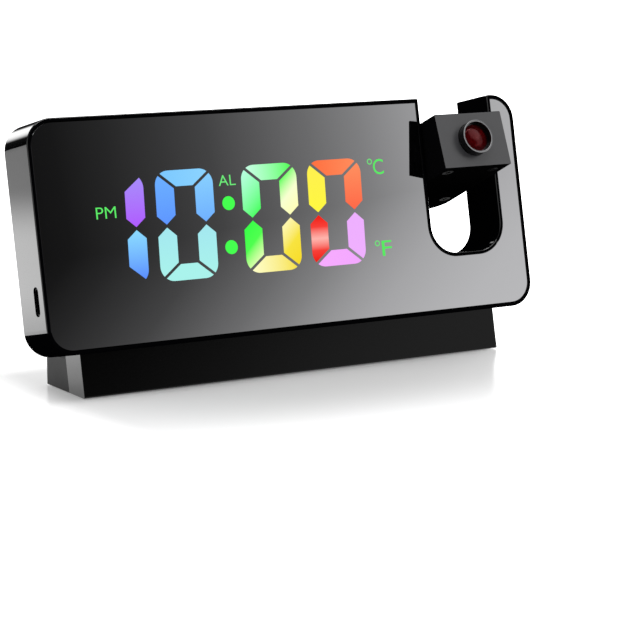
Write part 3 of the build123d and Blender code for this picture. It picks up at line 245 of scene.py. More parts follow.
# ---- Places on the clock
class Side(Enum):
    """A side of the body that something is read on."""

    FRONT = "front"
    REAR = "rear"
    TOP = "top"


@dataclass(frozen=True)
class Layout:
    """Where the leaning body is, as in the CAD model.

    Attributes:
        lean: How far the face leans back, in degrees.
        face_y: The face's lower front edge, behind the origin.
        lift: The same edge, above the table.
        height: Height of the face.
        depth: Front rim to rear cover.
        corner: Where the lower corners' rounding starts, up the face.
        slot_x: Middle of the projector's slot.
        slot_width: Width of that slot.
        slot_margin: How far into the walls the slot's finish is given.
        slot_lip: How deep the slot's polished lip is.
        beam_rise: How far above level the projector points at rest, in degrees.
    """

    lean: float = 10.8
    face_y: float = -24.930
    lift: float = 16.0
    height: float = 76.8
    depth: float = 20.0
    corner: float = 8.0
    slot_x: float = 69.45
    slot_width: float = 30.0
    slot_margin: float = 0.3
    slot_lip: float = 2.5
    beam_rise: float = 21.5

    @property
    def up(self) -> Vector:
        """Direction up the face."""
        a = math.radians(self.lean)
        return Vector((0, math.sin(a), math.cos(a)))

    @property
    def back(self) -> Vector:
        """Direction square to the face, to the rear."""
        a = math.radians(self.lean)
        return Vector((0, math.cos(a), -math.sin(a)))

    @property
    def beam(self) -> Vector:
        """Direction of the projector's beam at rest."""
        a = math.radians(self.beam_rise)
        return Vector((0, -math.cos(a), math.sin(a)))

    def place(self, x: float, u: float, n: float, side: Side = Side.FRONT) -> Matrix:
        """A frame on the body whose x runs to the right as read and z towards the reader.

        Args:
            x: From the middle, to the right as seen from the front.
            u: Up the face from its lower edge.
            n: Back from the front rim.
            side: The side that it is read on.

        Returns:
            The frame in metres.
        """
        axes = {Side.FRONT: (RIGHT, self.up, -self.back), Side.REAR: (-RIGHT, self.up, self.back),
                Side.TOP: (RIGHT, self.back, self.up)}[side]
        frame = Matrix(axes).transposed().to_4x4()
        at = Vector((x, self.face_y, self.lift)) + self.up * u + self.back * n
        frame.translation = at * MM
        return frame


LAYOUT = Layout()


# ---- Finishes
@dataclass(frozen=True)
class Finish(ABC):
    """A material of the clock or of the table.

    Attributes:
        name: What the material is.
        colour: Its sRGB hex.
        roughness: Its mean roughness.
        spread: How far the roughness goes either side of that, in soft patches.
        patches: How many patches there are to a millimetre.
        detail: How broken up they are.
    """

    name: str
    colour: str
    roughness: float
    spread: float = 0.02
    patches: float = 0.11
    detail: float = 3.0

    def material(self) -> bpy.types.Material:
        """Makes the material when it is first asked for.

        Returns:
            The finished material.
        """
        made = bpy.data.materials.get(self.name)
        if made is None:
            made = bpy.data.materials.new(self.name)
            nodes = Nodes(made)
            nodes.add("OutputMaterial", {"Surface": self.shade(nodes)})
        return made

    @abstractmethod
    def shade(self, nodes: Nodes) -> Socket:
        """Builds the surface's nodes.

        Args:
            nodes: The material's nodes.

        Returns:
            The surface shader's output.
        """

    def rough(self, nodes: Nodes) -> Socket:
        """Gives the uneven roughness that a mould, a polish or handling leaves."""
        ends = (self.roughness - self.spread, self.roughness + self.spread)
        return nodes.span(nodes.noise(self.patches, self.detail), (0.0, 1.0), ends)

    def surface(self, nodes: Nodes, links: dict) -> Socket:
        """Adds the surface's shader, in the finish's colour unless the links give one."""
        return nodes.shader("BsdfPrincipled", {"Base Color": to_linear(self.colour)} | links)

    def put_on(self, *names: str) -> None:
        """Gives the material to CAD nodes."""
        for name in names:
            self.put_on_mesh(bpy.data.objects[name].data)

    def put_on_mesh(self, mesh: Mesh) -> None:
        """Gives the material to one mesh."""
        mesh.materials.clear()
        mesh.materials.append(self.material())


@dataclass(frozen=True)
class Opaque(Finish):
    """A surface that isn't shaded as bare metal: plastic, rubber, film, ink, and steel under
    painted shade.

    Attributes:
        grain: Size of a spark-eroded mould's texture, 0 where it is smooth.
        grain_depth: Depth of that texture.
        grain_strength: How clearly it shows, from 0 to 1.
        specular: Specular level of the surface.
    """

    grain: float = 0.0
    grain_depth: float = 0.006
    grain_strength: float = 0.6
    specular: float = 0.5

    def pits(self, nodes: Nodes, strength: object) -> Socket:
        """Gives the normal of a surface from a spark-eroded mould."""
        links = {"Height": nodes.noise(1 / self.grain), "Strength": strength,
                 "Distance": self.grain_depth * MM}
        return nodes.add("Bump", links).outputs[0]

    def shade(self, nodes: Nodes) -> Socket:
        """See Finish.shade."""
        links: dict = {"Roughness": self.rough(nodes), "Specular IOR Level": self.specular}
        if self.grain:
            links["Normal"] = self.pits(nodes, self.grain_strength)
        return self.surface(nodes, links)


@dataclass(frozen=True)
class PolishedAndEtched(Opaque):
    """A moulding from a tool that is polished in places and spark eroded in the rest.

    Attributes:
        etched: Gives 1 where the tool is eroded.
        etched_colour: sRGB hex there, where it differs.
        etched_roughness: Roughness there.
        etched_specular: Specular level there.
        coat: Hard coat over the polished places, from 0 to 1.
        coat_roughness: Roughness of that coat.
    """

    grain: float = 0.4
    etched: Callable[[Nodes], Socket] | None = None
    etched_colour: str = ""
    etched_roughness: float = 0.42
    etched_specular: float = 0.0
    coat: float = 0.0
    coat_roughness: float = 0.02

    def shade(self, nodes: Nodes) -> Socket:
        """See Finish.shade."""
        zone = self.etched(nodes)
        links: dict = {
            "Roughness": nodes.mix(zone, self.rough(nodes), self.etched_roughness),
            "Specular IOR Level": nodes.mix(zone, self.specular, self.etched_specular),
            "Normal": self.pits(nodes, zone)}
        if self.etched_colour:
            links["Base Color"] = nodes.mix_colours(zone, self.colour, self.etched_colour)
        if self.coat:
            links |= {"Coat Weight": nodes.mix(zone, self.coat, 0.0),
                      "Coat Roughness": self.coat_roughness}
        return self.surface(nodes, links)


@dataclass(frozen=True)
class PaintedRimHighlight(Finish):
    """Black plastic whose bevelled rim is painted light grey: a painted highlight round the rim.

    Attributes:
        rim_highlight: sRGB hex of the painted highlight on the bevel.
        bevel: Cosines to the beam between which the bevel faces.
    """

    patches: float = 0.4
    detail: float = 2.0
    rim_highlight: str = "909092"
    bevel: tuple[float, float] = (0.5, 0.9)

    def shade(self, nodes: Nodes) -> Socket:
        """See Finish.shade."""
        # the bevel takes the painted highlight's light grey
        rim = nodes.maths("SUBTRACT", *(nodes.facing(LAYOUT.beam, end) for end in self.bevel))
        colour = nodes.mix_colours(rim, self.colour, self.rim_highlight)
        return self.surface(nodes, {"Roughness": self.rough(nodes), "Base Color": colour})


@dataclass(frozen=True)
class Metal(Finish):
    """Plated metal, or a mirror's silver."""

    patches: float = 0.6
    detail: float = 4.0

    def shade(self, nodes: Nodes) -> Socket:
        """See Finish.shade."""
        return self.surface(nodes, {"Roughness": self.rough(nodes), "Metallic": 1.0})


@dataclass(frozen=True)
class ClearPlastic(Finish):
    """Clear or tinted moulded optics.

    Attributes:
        glow: Emission strength, for a lit piece.
        transmission: How much light passes.
        specular: Specular level; under 0.5 where the surface is bloomed against reflections.
        bloom: sRGB hex that the bloomed surface gives its reflections.
    """

    roughness: float = 0.02
    spread: float = 0.008
    patches: float = 0.4
    detail: float = 2.0
    glow: float = 0.0
    transmission: float = 1.0
    specular: float = 0.5
    bloom: str = "FFFFFF"

    def shade(self, nodes: Nodes) -> Socket:
        """See Finish.shade."""
        return self.surface(nodes, {
            "Roughness": self.rough(nodes), "Transmission Weight": self.transmission,
            "IOR": ACRYLIC_IOR, "Specular IOR Level": self.specular,
            "Specular Tint": to_linear(self.bloom),
            "Emission Color": to_linear(self.colour), "Emission Strength": self.glow})


@dataclass(frozen=True)
class BoardLaminate(Finish):
    """Glass-epoxy board under green solder mask, its copper tracks showing faintly through.

    Attributes:
        track: sRGB hex of the mask over copper.
        cells: How many cells of the tracks' pattern there are to a millimetre.
        pitch: Track to track, as a share of a cell.
        edge: Where a track's edge starts and ends in that pitch.
    """

    track: str = "15552C"
    cells: float = 0.35
    pitch: float = 0.18
    edge: tuple[float, float] = (0.07, 0.1)

    def shade(self, nodes: Nodes) -> Socket:
        """See Finish.shade."""
        cells = nodes.add("TexVoronoi", {"Vector": nodes.at, "Scale": self.cells},
                          distance="MANHATTAN", feature="F1").outputs["Distance"]
        copper = nodes.span(nodes.maths("PINGPONG", cells, self.pitch), self.edge)
        colour = nodes.mix_colours(copper, self.colour, self.track)
        return self.surface(nodes, {"Roughness": self.roughness, "Base Color": colour})


@dataclass(frozen=True)
class LitPrint(Finish):
    """Colour-printed film lit from behind; the light's colour is the mesh's attribute "lit"."""

    def shade(self, nodes: Nodes) -> Socket:
        """See Finish.shade."""
        lit = nodes.add("Attribute", attribute_name="lit", attribute_type="GEOMETRY")
        return self.surface(nodes, {
            "Roughness": self.roughness, "Specular IOR Level": 0.0,
            "Emission Color": lit.outputs["Color"], "Emission Strength": 1.0})


def housing_etched(nodes: Nodes) -> Socket:
    """The housing's rim, its slot behind the lip, and all below its lower corners' start.

    Args:
        nodes: The material's nodes.

    Returns:
        1 where the mould is eroded and 0 elsewhere.
    """
    from_edge = nodes.vectors("SUBTRACT", nodes.at, (0, LAYOUT.face_y, LAYOUT.lift),
                              output="Vector")
    up_face, depth = (nodes.vectors("DOT_PRODUCT", from_edge, way)
                      for way in (LAYOUT.up, LAYOUT.back))
    low = nodes.maths("LESS_THAN", up_face, LAYOUT.corner)
    across = nodes.add("SeparateXYZ", {0: nodes.at}).outputs["X"]
    from_slot = nodes.maths("ABSOLUTE", nodes.maths("SUBTRACT", across, LAYOUT.slot_x))
    slot = nodes.maths("LESS_THAN", from_slot, LAYOUT.slot_width / 2 + LAYOUT.slot_margin)
    # the walls are squarer to these than the lip's rounding is
    walls = nodes.chain("MAXIMUM", nodes.facing(RIGHT, least=0.95),
                        nodes.facing(-RIGHT, least=0.95), nodes.facing(LAYOUT.up, least=0.97),
                        nodes.maths("GREATER_THAN", depth, LAYOUT.slot_lip))
    return nodes.chain("MAXIMUM", low, nodes.maths("MULTIPLY", slot, walls),
                       nodes.facing(-LAYOUT.back))


def base_etched(nodes: Nodes) -> Socket:
    """All of the base but its two ends."""
    ends = nodes.maths("MAXIMUM", nodes.facing(-RIGHT), nodes.facing(RIGHT))
    return nodes.maths("SUBTRACT", 1.0, ends)


def head_etched(nodes: Nodes) -> Socket:
    """All of the projector head but its satin front, top and rear, which take the painted lit grey.

    Args:
        nodes: The material's nodes.

    Returns:
        1 where the mould is eroded and 0 elsewhere.
    """
    top = LAYOUT.beam.cross(RIGHT)
    # the front, top and rear are the faces painted the lighter, lit grey
    satin_and_painted_lit = nodes.chain("MAXIMUM", nodes.facing(LAYOUT.beam),
                        nodes.facing(-LAYOUT.beam, least=0.4, soft=0.4), nodes.facing(top))
    return nodes.maths("SUBTRACT", 1.0, satin_and_painted_lit)


# Piano black ABS: polished mould and hard coat, so it mirrors like glass. The rim, the slot
# behind its lip and the underside come from eroded steel and swallow the light.
GLOSS_ABS = PolishedAndEtched("piano_black_abs", "030304", 0.06, coat=1.0, etched=housing_etched)
# The same black ABS with both ends polished; its long faces are semi-matt and mirror dimly.
BASE_ABS = PolishedAndEtched("polished_black_abs", "030303", 0.09, coat=1.0,
                             etched=base_etched, etched_roughness=0.09, etched_specular=0.2)
# ABS, satin on its front, top and rear and black on its sides. Those three faces are painted a
# lighter
# dark grey: painted light, standing in for the light that falls on them.
HEAD_ABS = PolishedAndEtched("black_abs_painted_lit_front", "363638", 0.36, etched=head_etched,
                             etched_colour="070708", etched_roughness=0.5)
# ABS from a spark-eroded mould, VDI 24: a soft even sheen. Its fine pits are drawn at 0.45 mm,
# so they show.
SATIN_ABS = Opaque("fine_spark_black_abs", "0A0A0B", 0.38, 0.04, grain=0.45)
# ABS from a spark-eroded mould, VDI 30: duller and rougher, its pits drawn at 0.6 mm.
MATT_ABS = Opaque("coarse_spark_black_abs", "0C0C0D", 0.52, 0.04, grain=0.6, grain_depth=0.012)
# ABS from a blasted mould, on the head's underside: no sheen at all.
DULL_ABS = Opaque("dull_black_abs", "040404", 0.6, 0.04, grain=0.6, specular=0.0)
# Smoked acrylic sheet, half silvered on its back: a dark, almost flat mirror.
MIRROR = Metal("half_silvered_acrylic", "BEBEC0", 0.012, 0.006, patches=0.03, detail=2.0)
# White ABS that throws the lamps' light forward: bright and slightly glossy.
REFLECTOR = Opaque("white_moulded_abs", "EDEDEA", 0.45)
# Cast opal resin: milky, so each window lights evenly.
DIFFUSER = Opaque("opal_resin", "F2F2EE", 0.35)
# Printed polyester film: dense black with the base film's gloss.
FILM = Opaque("printed_polyester_film", "08080A", 0.2)
# Silicone with yellow phosphor over each lamp: pale straw.
CHIP_LED = Opaque("phosphor_silicone", "F7F3D8", 0.3)
# Glass-epoxy board under solder mask: glossy green with the copper showing lighter.
BOARD = BoardLaminate("green_glass_epoxy", "0B3A1E", 0.3)
# Transfer-moulded epoxy: charcoal with a fine even tooth.
EPOXY = Opaque("moulded_chip_epoxy", "141414", 0.5, grain=0.2)
# Bright nickel over steel: a warm silver, a little brushed by handling.
NICKEL = Metal("bright_nickel_plate", "C9C6BE", 0.22, 0.066)
# Nickel plate on the inlet's shell, coloured near black: painted shade of the hole that it sits in.
NICKEL_PAINTED_SHADE = Metal("nickel_plate_painted_shade", "1C1C1E", 0.3, 0.09)
# Steel screws under the head, coloured near black as painted shade of the underside; dry, with
# hardly any sheen.
STEEL_PAINTED_SHADE = Opaque("steel_painted_shade", "060606", 0.5, specular=0.02)
# Natural acetal, turned: waxy off-white.
ACETAL = Opaque("turned_acetal", "DCDAD0", 0.4)
# Black acetal, moulded: smooth and waxy.
BLACK_ACETAL = Opaque("moulded_black_acetal", "060606", 0.22)
# The same black acetal with a painted highlight, a light grey line, round its bevelled rim.
RIM_HIGHLIGHT_ACETAL = PaintedRimHighlight("black_acetal_painted_rim_highlight", "060606", 0.22)
# Acrylic, diamond turned and bloomed, with a faint pink highlight. Its deep red tint is painted
# light: the red glow of the projector's beam.
LENS = ClearPlastic("lens_acrylic_painted_red_light", "70080F", transmission=0.75, specular=0.22,
                    bloom="FF8F93")
# Clear acrylic, polished: glass-clear optics.
CLEAR = ClearPlastic("polished_clear_acrylic", "F2F5F5")
# Red-dyed epoxy round a lit diode: it glows from within.
RED_LED = ClearPlastic("red_diode_epoxy", "FF1010", 0.08, 0.032, glow=1.0, transmission=0.3)
# Rubber sheet, die cut: dull and soft.
RUBBER = Opaque("die_cut_rubber", "101010", 0.75, 0.05, grain=0.3)
# The colour-printed film's light, seen on the mirror's face.
LIT = LitPrint("lit_colour_print", "000000", 0.4)
# Screen-printed ink: flat mid grey.
GREY_INK = Opaque("grey_screen_ink", "8E9092", 0.6, 0.1, patches=3.0, detail=2.0)


# ---- Sub-assemblies
@dataclass
class Assembly(ABC):
    """A group of pieces that is built and dressed together.

    Attributes:
        body: The CAD body that its added pieces ride on.
        slot: The record's material slot of its pieces; not used.
        made: The names of the pieces added so far.
    """

    body: str = "clock_body"
    slot: str = "satin_black_abs"
    made: list[str] = field(default_factory=list)

    def build(self) -> None:
        """Makes the pieces that the CAD model lacks."""

    @abstractmethod
    def dress(self) -> None:
        """Gives every piece its finish."""

    def keep(self, mesh: Mesh, finish: Finish) -> None:
        """Adds a mesh in the row frame to the scene as a piece of the mesh's name.

        Args:
            mesh: The mesh.
            finish: What it is made of.
        """
        obj = add_object(mesh.name, mesh)
        finish.put_on_mesh(mesh)
        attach(obj, self.body)
        self.made.append(obj.name)
        LOG.info("added %s", obj.name)

    def lettering(self, name: str, words: str, frame: Matrix, size: tuple[float, float],
                  colour: str = "", weight: float = 0.0) -> None:
        """Adds flat lettering, stretched to a box: lit where it has a colour, else printed.

        Args:
            name: The piece's name.
            words: What it says.
            frame: Its place, the box's middle at the origin.
            size: Width and height of the box; a width of 0 keeps the letters' own shape.
            colour: sRGB hex of its light.
            weight: How much each stroke's edges stand out, as a share of the letters' height.
        """
        text = bpy.data.curves.new(name, "FONT")
        text.body = words
        text.resolution_u = 4
        text.offset = weight
        holder = add_object(name + "_text", text)
        bpy.context.view_layer.update()
        mesh = bpy.data.meshes.new_from_object(
            holder.evaluated_get(bpy.context.evaluated_depsgraph_get()))
        bpy.data.objects.remove(holder)
        bpy.data.curves.remove(text)
        xs, ys, _ = zip(*(v.co for v in mesh.vertices))
        high = size[1] * MM / (max(ys) - min(ys))
        wide = size[0] * MM / (max(xs) - min(xs)) if size[0] else high
        centre = Vector(((max(xs) + min(xs)) / 2, (max(ys) + min(ys)) / 2, 0))
        mesh.transform(frame @ Matrix.Diagonal((wide, high, 1, 1)) @ Matrix.Translation(-centre))
        if colour:
            paint(mesh, lambda at: to_linear(colour))
        mesh.name = name
        self.keep(mesh, LIT if colour else GREY_INK)


@dataclass
class Housing(Assembly):
    """Front housing, mirror panel, rear cover and hatch."""

    def dress(self) -> None:
        """See Assembly.dress."""
        GLOSS_ABS.put_on("front_housing")
        MIRROR.put_on("mirror_panel")
        SATIN_ABS.put_on("rear_cover", "cell_hatch")
        NICKEL.put_on("case_screws", "body_screws")
        ACETAL.put_on("hinge_bush_left", "hinge_bush_right")


class Edge(Enum):
    """Which way a stroke's colour runs, as a direction on the face (x, u)."""

    DOWN = (0.0, -1.0)
    RIGHT = (1.0, 0.0)
    DOWN_RIGHT = (0.7, -0.7)


@dataclass(frozen=True)
class Stroke:
    """One lit stroke of a digit.

    Attributes:
        x: Its middle, from the body's middle.
        u: Its middle, up the face.
        colours: sRGB hex colours along its run, first to last.
        run: Which way the colours run.
    """

    x: float
    u: float
    colours: tuple[str, ...]
    run: Edge = Edge.DOWN


@dataclass(frozen=True)
class Digit:
    """A lit digit.

    Attributes:
        x: Its middle, from the body's middle.
        colours: Stroke letter to sRGB hex colours along that stroke.
        run: Which way the colours of its side strokes run; those of a and d run right.
        u: Its middle, up the face.
        bar: Its top and bottom strokes, above and below its middle.
        side: Its side strokes, right and left of its middle.
        side_rise: Their middles, above and below its middle.
        lean: How far it leans to the right, in degrees.
    """

    x: float
    colours: dict[str, str]
    run: Edge = Edge.DOWN
    u: float = 39.0
    bar: float = 15.6
    side: float = 7.3
    side_rise: float = 8.25
    lean: float = 2.6

    def strokes(self) -> list[Stroke]:
        """Places the digit's strokes.

        Returns:
            The strokes.
        """
        slant = math.tan(math.radians(self.lean))
        places = {"a": (0, self.bar), "b": (self.side, self.side_rise),
                  "c": (self.side, -self.side_rise), "d": (0, -self.bar),
                  "e": (-self.side, -self.side_rise), "f": (-self.side, self.side_rise)}
        strokes = []
        for letter, colours in self.colours.items():
            across, rise = places[letter]
            strokes.append(Stroke(self.x + across + rise * slant, self.u + rise,
                                  tuple(colours.split()), self.run if across else Edge.RIGHT))
        return strokes


DIGITS = (
    Digit(-67.0, {"b": "A88CFA B05AFF", "c": "8CDCFF 5A8CFF"}),
    Digit(-41.3, {"a": "7CC8FF 8CD4FF", "b": "88D0FF 70B0FF", "c": "A4E8F0 AAF3EC",
                  "d": "AAF3EC AAF3EC", "e": "A4E8F0 AAF3EC", "f": "6CB0FF 5F96FF"}),
    Digit(-9.1, {"a": "C8FFE4 50FF50", "b": "60FF60 F8FFD0 FFFFB8", "c": "FFF8B0 F8E440 F8DC28",
                 "d": "FFFFC8 F8E240", "e": "38FF48 50FF50 E0FFB0", "f": "B8FFE0 48FF60"},
          Edge.DOWN_RIGHT),
    Digit(16.6, {"a": "FF7040 FF8C5C", "b": "FF9060 FF6848", "c": "EEB0FF F0B0FF",
                 "d": "F8ACFF F4A8FF", "e": "F01808 F84038 FFB4AC F84038 F01808",
                 "f": "FFF050 FFF840"}),
)
# Each lit mark: name, words, left, right, lower and upper edge, colour, letters' weight.
MARKS = (
    ("mark_pm", "PM", -73.5, -66.4, 43.0, 46.8, "60EE6A", -0.008),
    ("mark_al", "AL", -27.8, -21.4, 50.95, 54.5, "70EE7C", -0.006),
    ("mark_c", "C", 33.2, 37.5, 51.0, 56.4, "5CEC66", 0.0),
    ("mark_f", "F", 33.4, 37.4, 22.45, 27.75, "58EC62", 0.0),
)


@dataclass
class Display(Assembly):
    """The lit digits, dots and marks, and what lies behind the mirror.

    Attributes:
        light_depth: Where the light is laid, behind the front rim and just over the mirror.
        diffuser_sink: The diffusers' fronts, behind the front rim.
        square: Cosine from which a face is a diffuser's front.
        reach: How far a window's middle may be from the stroke that it is.
        dot_width: How wide the widest dot is.
        dot_colour: sRGB hex of the dots.
        degrees: Name, x and u of each degree ring.
        degree_radii: A ring's outer and inner radius.
        degree_colour: sRGB hex of the rings.
    """

    slot: str = "diffuser_resin"
    light_depth: float = 0.25
    diffuser_sink: float = 2.35
    square: float = 0.99
    reach: float = 1.5
    dot_width: float = 4.8
    dot_colour: str = "46FF50"
    degrees: tuple[tuple[str, float, float], ...] = (
        ("mark_c_degree", 32.0, 55.65), ("mark_f_degree", 31.65, 27.0))
    degree_radii: tuple[float, float] = (1.05, 0.65)
    degree_colour: str = "72E07C"

    def build(self) -> None:
        """Lays the light of each window on the mirror's face, and adds the marks."""
        strokes = [stroke for digit in DIGITS for stroke in digit.strokes()]
        shift = LAYOUT.back * MM * (self.light_depth - self.diffuser_sink)
        for number, (points, faces) in enumerate(self.window_faces()):
            xs = [p.x / MM for p in points]
            us = [self.height_up(p) for p in points]
            x, u = (min(xs) + max(xs)) / 2, (min(us) + max(us)) / 2
            stroke = min(strokes, key=lambda s: math.hypot(s.x - x, s.u - u))
            if math.hypot(stroke.x - x, stroke.u - u) > self.reach:
                if max(xs) - min(xs) > self.dot_width:
                    continue  # the letters' windows
                stroke = Stroke(x, u, (self.dot_colour, self.dot_colour))
            mesh = bpy.data.meshes.new(f"lit_window_{number:02d}")
            mesh.from_pydata([p + shift for p in points], [], faces)
            self.colour(mesh, stroke)
            self.keep(mesh, LIT)
        self.marks()

    @staticmethod
    def height_up(point: Vector) -> float:
        """How far up the face a point in metres is."""
        return (point / MM - Vector((0, LAYOUT.face_y, LAYOUT.lift))).dot(LAYOUT.up)

    def window_faces(self) -> list[tuple[list[Vector], list[list[int]]]]:
        """Finds the diffusers' front faces.

        Returns:
            Corners and faces, a pair for each window, from left to right.
        """
        grid = bmesh.new()
        grid.from_mesh(bpy.data.objects["segment_diffusers"].data)
        bmesh.ops.remove_doubles(grid, verts=grid.verts, dist=TINY)
        grid.verts.index_update()
        grid.faces.index_update()
        groups, left = [], {f for f in grid.faces if f.normal.dot(-LAYOUT.back) > self.square}
        while left:
            patch, edge = [], [left.pop()]
            while edge:
                face = edge.pop()
                patch.append(face)
                near = {g for e in face.edges for g in e.link_faces if g in left}
                left -= near
                edge.extend(near)
            # a set's order changes from run to run
            patch.sort(key=lambda f: f.index)
            corners = sorted({v for f in patch for v in f.verts}, key=lambda v: v.index)
            index = {v: i for i, v in enumerate(corners)}
            groups.append(([v.co.copy() for v in corners],
                           [[index[v] for v in f.verts] for f in patch]))
        grid.free()
        return sorted(groups, key=lambda group: min(tuple(point) for point in group[0]))

    @staticmethod
    def colour(mesh: Mesh, stroke: Stroke) -> None:
        """Paints a stroke's run of colours on a mesh, cut where they change.

        Args:
            mesh: The stroke's mesh.
            stroke: The stroke.
        """
        across, up = stroke.run.value
        way = Vector((across, 0, 0)) + LAYOUT.up * up
        runs = [v.co.dot(way) for v in mesh.vertices]
        low, high = min(runs), max(runs)
        colours = [to_linear(c) for c in stroke.colours]
        cut = bmesh.new()
        cut.from_mesh(mesh)
        for step in range(1, len(colours) - 1):
            at = low + (high - low) * step / (len(colours) - 1)
            bmesh.ops.bisect_plane(cut, geom=[*cut.verts, *cut.edges, *cut.faces],
                                   plane_co=way * at / way.length_squared, plane_no=way)
        cut.to_mesh(mesh)
        cut.free()

        def at_point(place: Vector) -> Colour:
            """Gives the colour of a place.

            Args:
                place: The place in metres.

            Returns:
                Its linear colour.
            """
            t = (place.dot(way) - low) / (high - low) * (len(colours) - 1)
            k = max(0, min(len(colours) - 2, int(t + TINY)))
            f = max(0.0, min(1.0, t - k))
            return tuple(a + (b - a) * f for a, b in zip(colours[k], colours[k + 1]))

        paint(mesh, at_point)

    def marks(self) -> None:
        """Adds the lit letters and the rings of the temperature units."""
        for name, words, x0, x1, u0, u1, colour, weight in MARKS:
            frame = LAYOUT.place((x0 + x1) / 2, (u0 + u1) / 2, self.light_depth)
            self.lettering(name, words, frame, (x1 - x0, u1 - u0), colour, weight)
        for name, x, u in self.degrees:
            mesh = ring_mesh(name, LAYOUT.place(x, u, self.light_depth), *self.degree_radii)
            paint(mesh, lambda at: to_linear(self.degree_colour))
            self.keep(mesh, LIT)

    def dress(self) -> None:
        """See Assembly.dress."""
        FILM.put_on("display_film")
        REFLECTOR.put_on("display_reflector")
        DIFFUSER.put_on("segment_diffusers")
        CHIP_LED.put_on("display_leds")


@dataclass
class Electronics(Assembly):
    """The circuit board, what is soldered to it, and the cell."""

    def dress(self) -> None:
        """See Assembly.dress."""
        BOARD.put_on("main_board", "lamp_board")
        EPOXY.put_on("control_chip", "key_switches", "snooze_switch", "buzzer",
                     "temperature_sensor", "cell_holder", "usb_tongue")
        NICKEL.put_on("coin_cell", "board_screws")
        NICKEL_PAINTED_SHADE.put_on("usb_shell")


@dataclass
class Controls(Assembly):
    """The rear keys and their printed names.

    Attributes:
        key_xs: The keys' middles, from the body's middle.
        name_u: The names' middles, up the face.
        names: What is printed, and how high.
    """

    key_xs: tuple[float, ...] = (-66.0, -49.0, -32.0, -15.0, 2.0)
    name_u: float = 61.2
    names: tuple[tuple[str, float], ...] = (
        ("PROJ", 2.0), ("SET", 2.0), ("\N{MINUS SIGN}", 0.35), ("+", 2.0), ("ALARM", 2.0))

    def build(self) -> None:
        """Prints the keys' names on the rear cover."""
        for number, (x, (words, high)) in enumerate(zip(self.key_xs, self.names)):
            frame = LAYOUT.place(x, self.name_u, LAYOUT.depth + INK_PROUD, Side.REAR)
            self.lettering(f"key_name_{number}", words, frame, (0, high))

    def dress(self) -> None:
        """See Assembly.dress."""
        SATIN_ABS.put_on("key_projector", "key_set", "key_down", "key_up", "key_alarm")


@dataclass
class SnoozeBar(Assembly):
    """The bar in the top face and the word printed on it.

    Attributes:
        middle: The word's middle: from the body's middle, and back from the front rim.
        letter_height: How high its letters are.
    """

    body: str = "snooze_bar"
    middle: tuple[float, float] = (-45.0, 13.4)
    letter_height: float = 2.4

    def build(self) -> None:
        """Prints the bar's word."""
        x, n = self.middle
        frame = LAYOUT.place(x, LAYOUT.height + INK_PROUD, n, Side.TOP)
        self.lettering("snooze_name", "SNOOZE", frame, (0, self.letter_height))

    def dress(self) -> None:
        """See Assembly.dress."""
        SATIN_ABS.put_on("snooze_bar")


@dataclass
class Base(Assembly):
    """The plinth, the foot behind it, the bottom plate and its pads."""

    def dress(self) -> None:
        """See Assembly.dress."""
        BASE_ABS.put_on("base_front")
        MATT_ABS.put_on("base_foot", "base_plate")
        RUBBER.put_on("rubber_feet")
        NICKEL.put_on("base_screws")


@dataclass
class ProjectorHead(Assembly):
    """The turning head, its hinge pieces and its optics."""

    body: str = "projector_head"

    def dress(self) -> None:
        """See Assembly.dress."""
        HEAD_ABS.put_on("projector_case")
        DULL_ABS.put_on("projector_bottom")
        STEEL_PAINTED_SHADE.put_on("projector_screws")
        NICKEL.put_on("hinge_pin_left", "hinge_pin_right", "hinge_clip_left",
                      "hinge_clip_right")
        ACETAL.put_on("friction_washer_left", "friction_washer_right")
        BLACK_ACETAL.put_on("lens_cell")
        RIM_HIGHLIGHT_ACETAL.put_on("focus_ring")
        REFLECTOR.put_on("slide_holder")
        CLEAR.put_on("lcd_slide", "condenser_lens")
        LENS.put_on("projection_lens")
        RED_LED.put_on("red_led")


# ---- Studio
@dataclass(frozen=True)
class SoftBox:
    """A soft patch of the studio that polished surfaces give back.

    Attributes:
        azimuth: Degrees from the front (-Y) towards the right (+X).
        elevation: Degrees above the horizon.
        reach: Degrees from its middle to where it has faded out.
        core: Degrees from its middle within which it is full.
        strength: How bright its middle is, 1 being white.
    """

    azimuth: float
    elevation: float
    reach: float
    core: float
    strength: float

    def light(self, nodes: Nodes, towards: Socket) -> Socket:
        """Adds its brightness for a direction.

        Args:
            nodes: The world's nodes.
            towards: The direction.

        Returns:
            The brightness.
        """
        a, e, reach, core = map(math.radians, (self.azimuth, self.elevation, self.reach, self.core))
        middle = Vector((math.sin(a) * math.cos(e), -math.cos(a) * math.cos(e), math.sin(e)))
        return nodes.span(nodes.vectors("DOT_PRODUCT", towards, middle),
                          (math.cos(reach), math.cos(core)), (0.0, self.strength), smooth=True)


@dataclass(frozen=True)
class Pool:
    """A round pool of light on the table that polished surfaces give back.

    Attributes:
        x: Its middle, to the right.
        y: Its middle, to the rear.
        radius: Where it has faded out.
        core: Share of the radius within which it is full.
        strength: How much brighter than the table its middle is.
    """

    x: float
    y: float
    radius: float
    core: float
    strength: float

    def light(self, nodes: Nodes) -> Socket:
        """Adds its brightness to the table's nodes."""
        return nodes.span(nodes.vectors("DISTANCE", nodes.at, (self.x, self.y, 0)),
                          (self.radius, self.radius * self.core), (0.0, self.strength),
                          smooth=True)


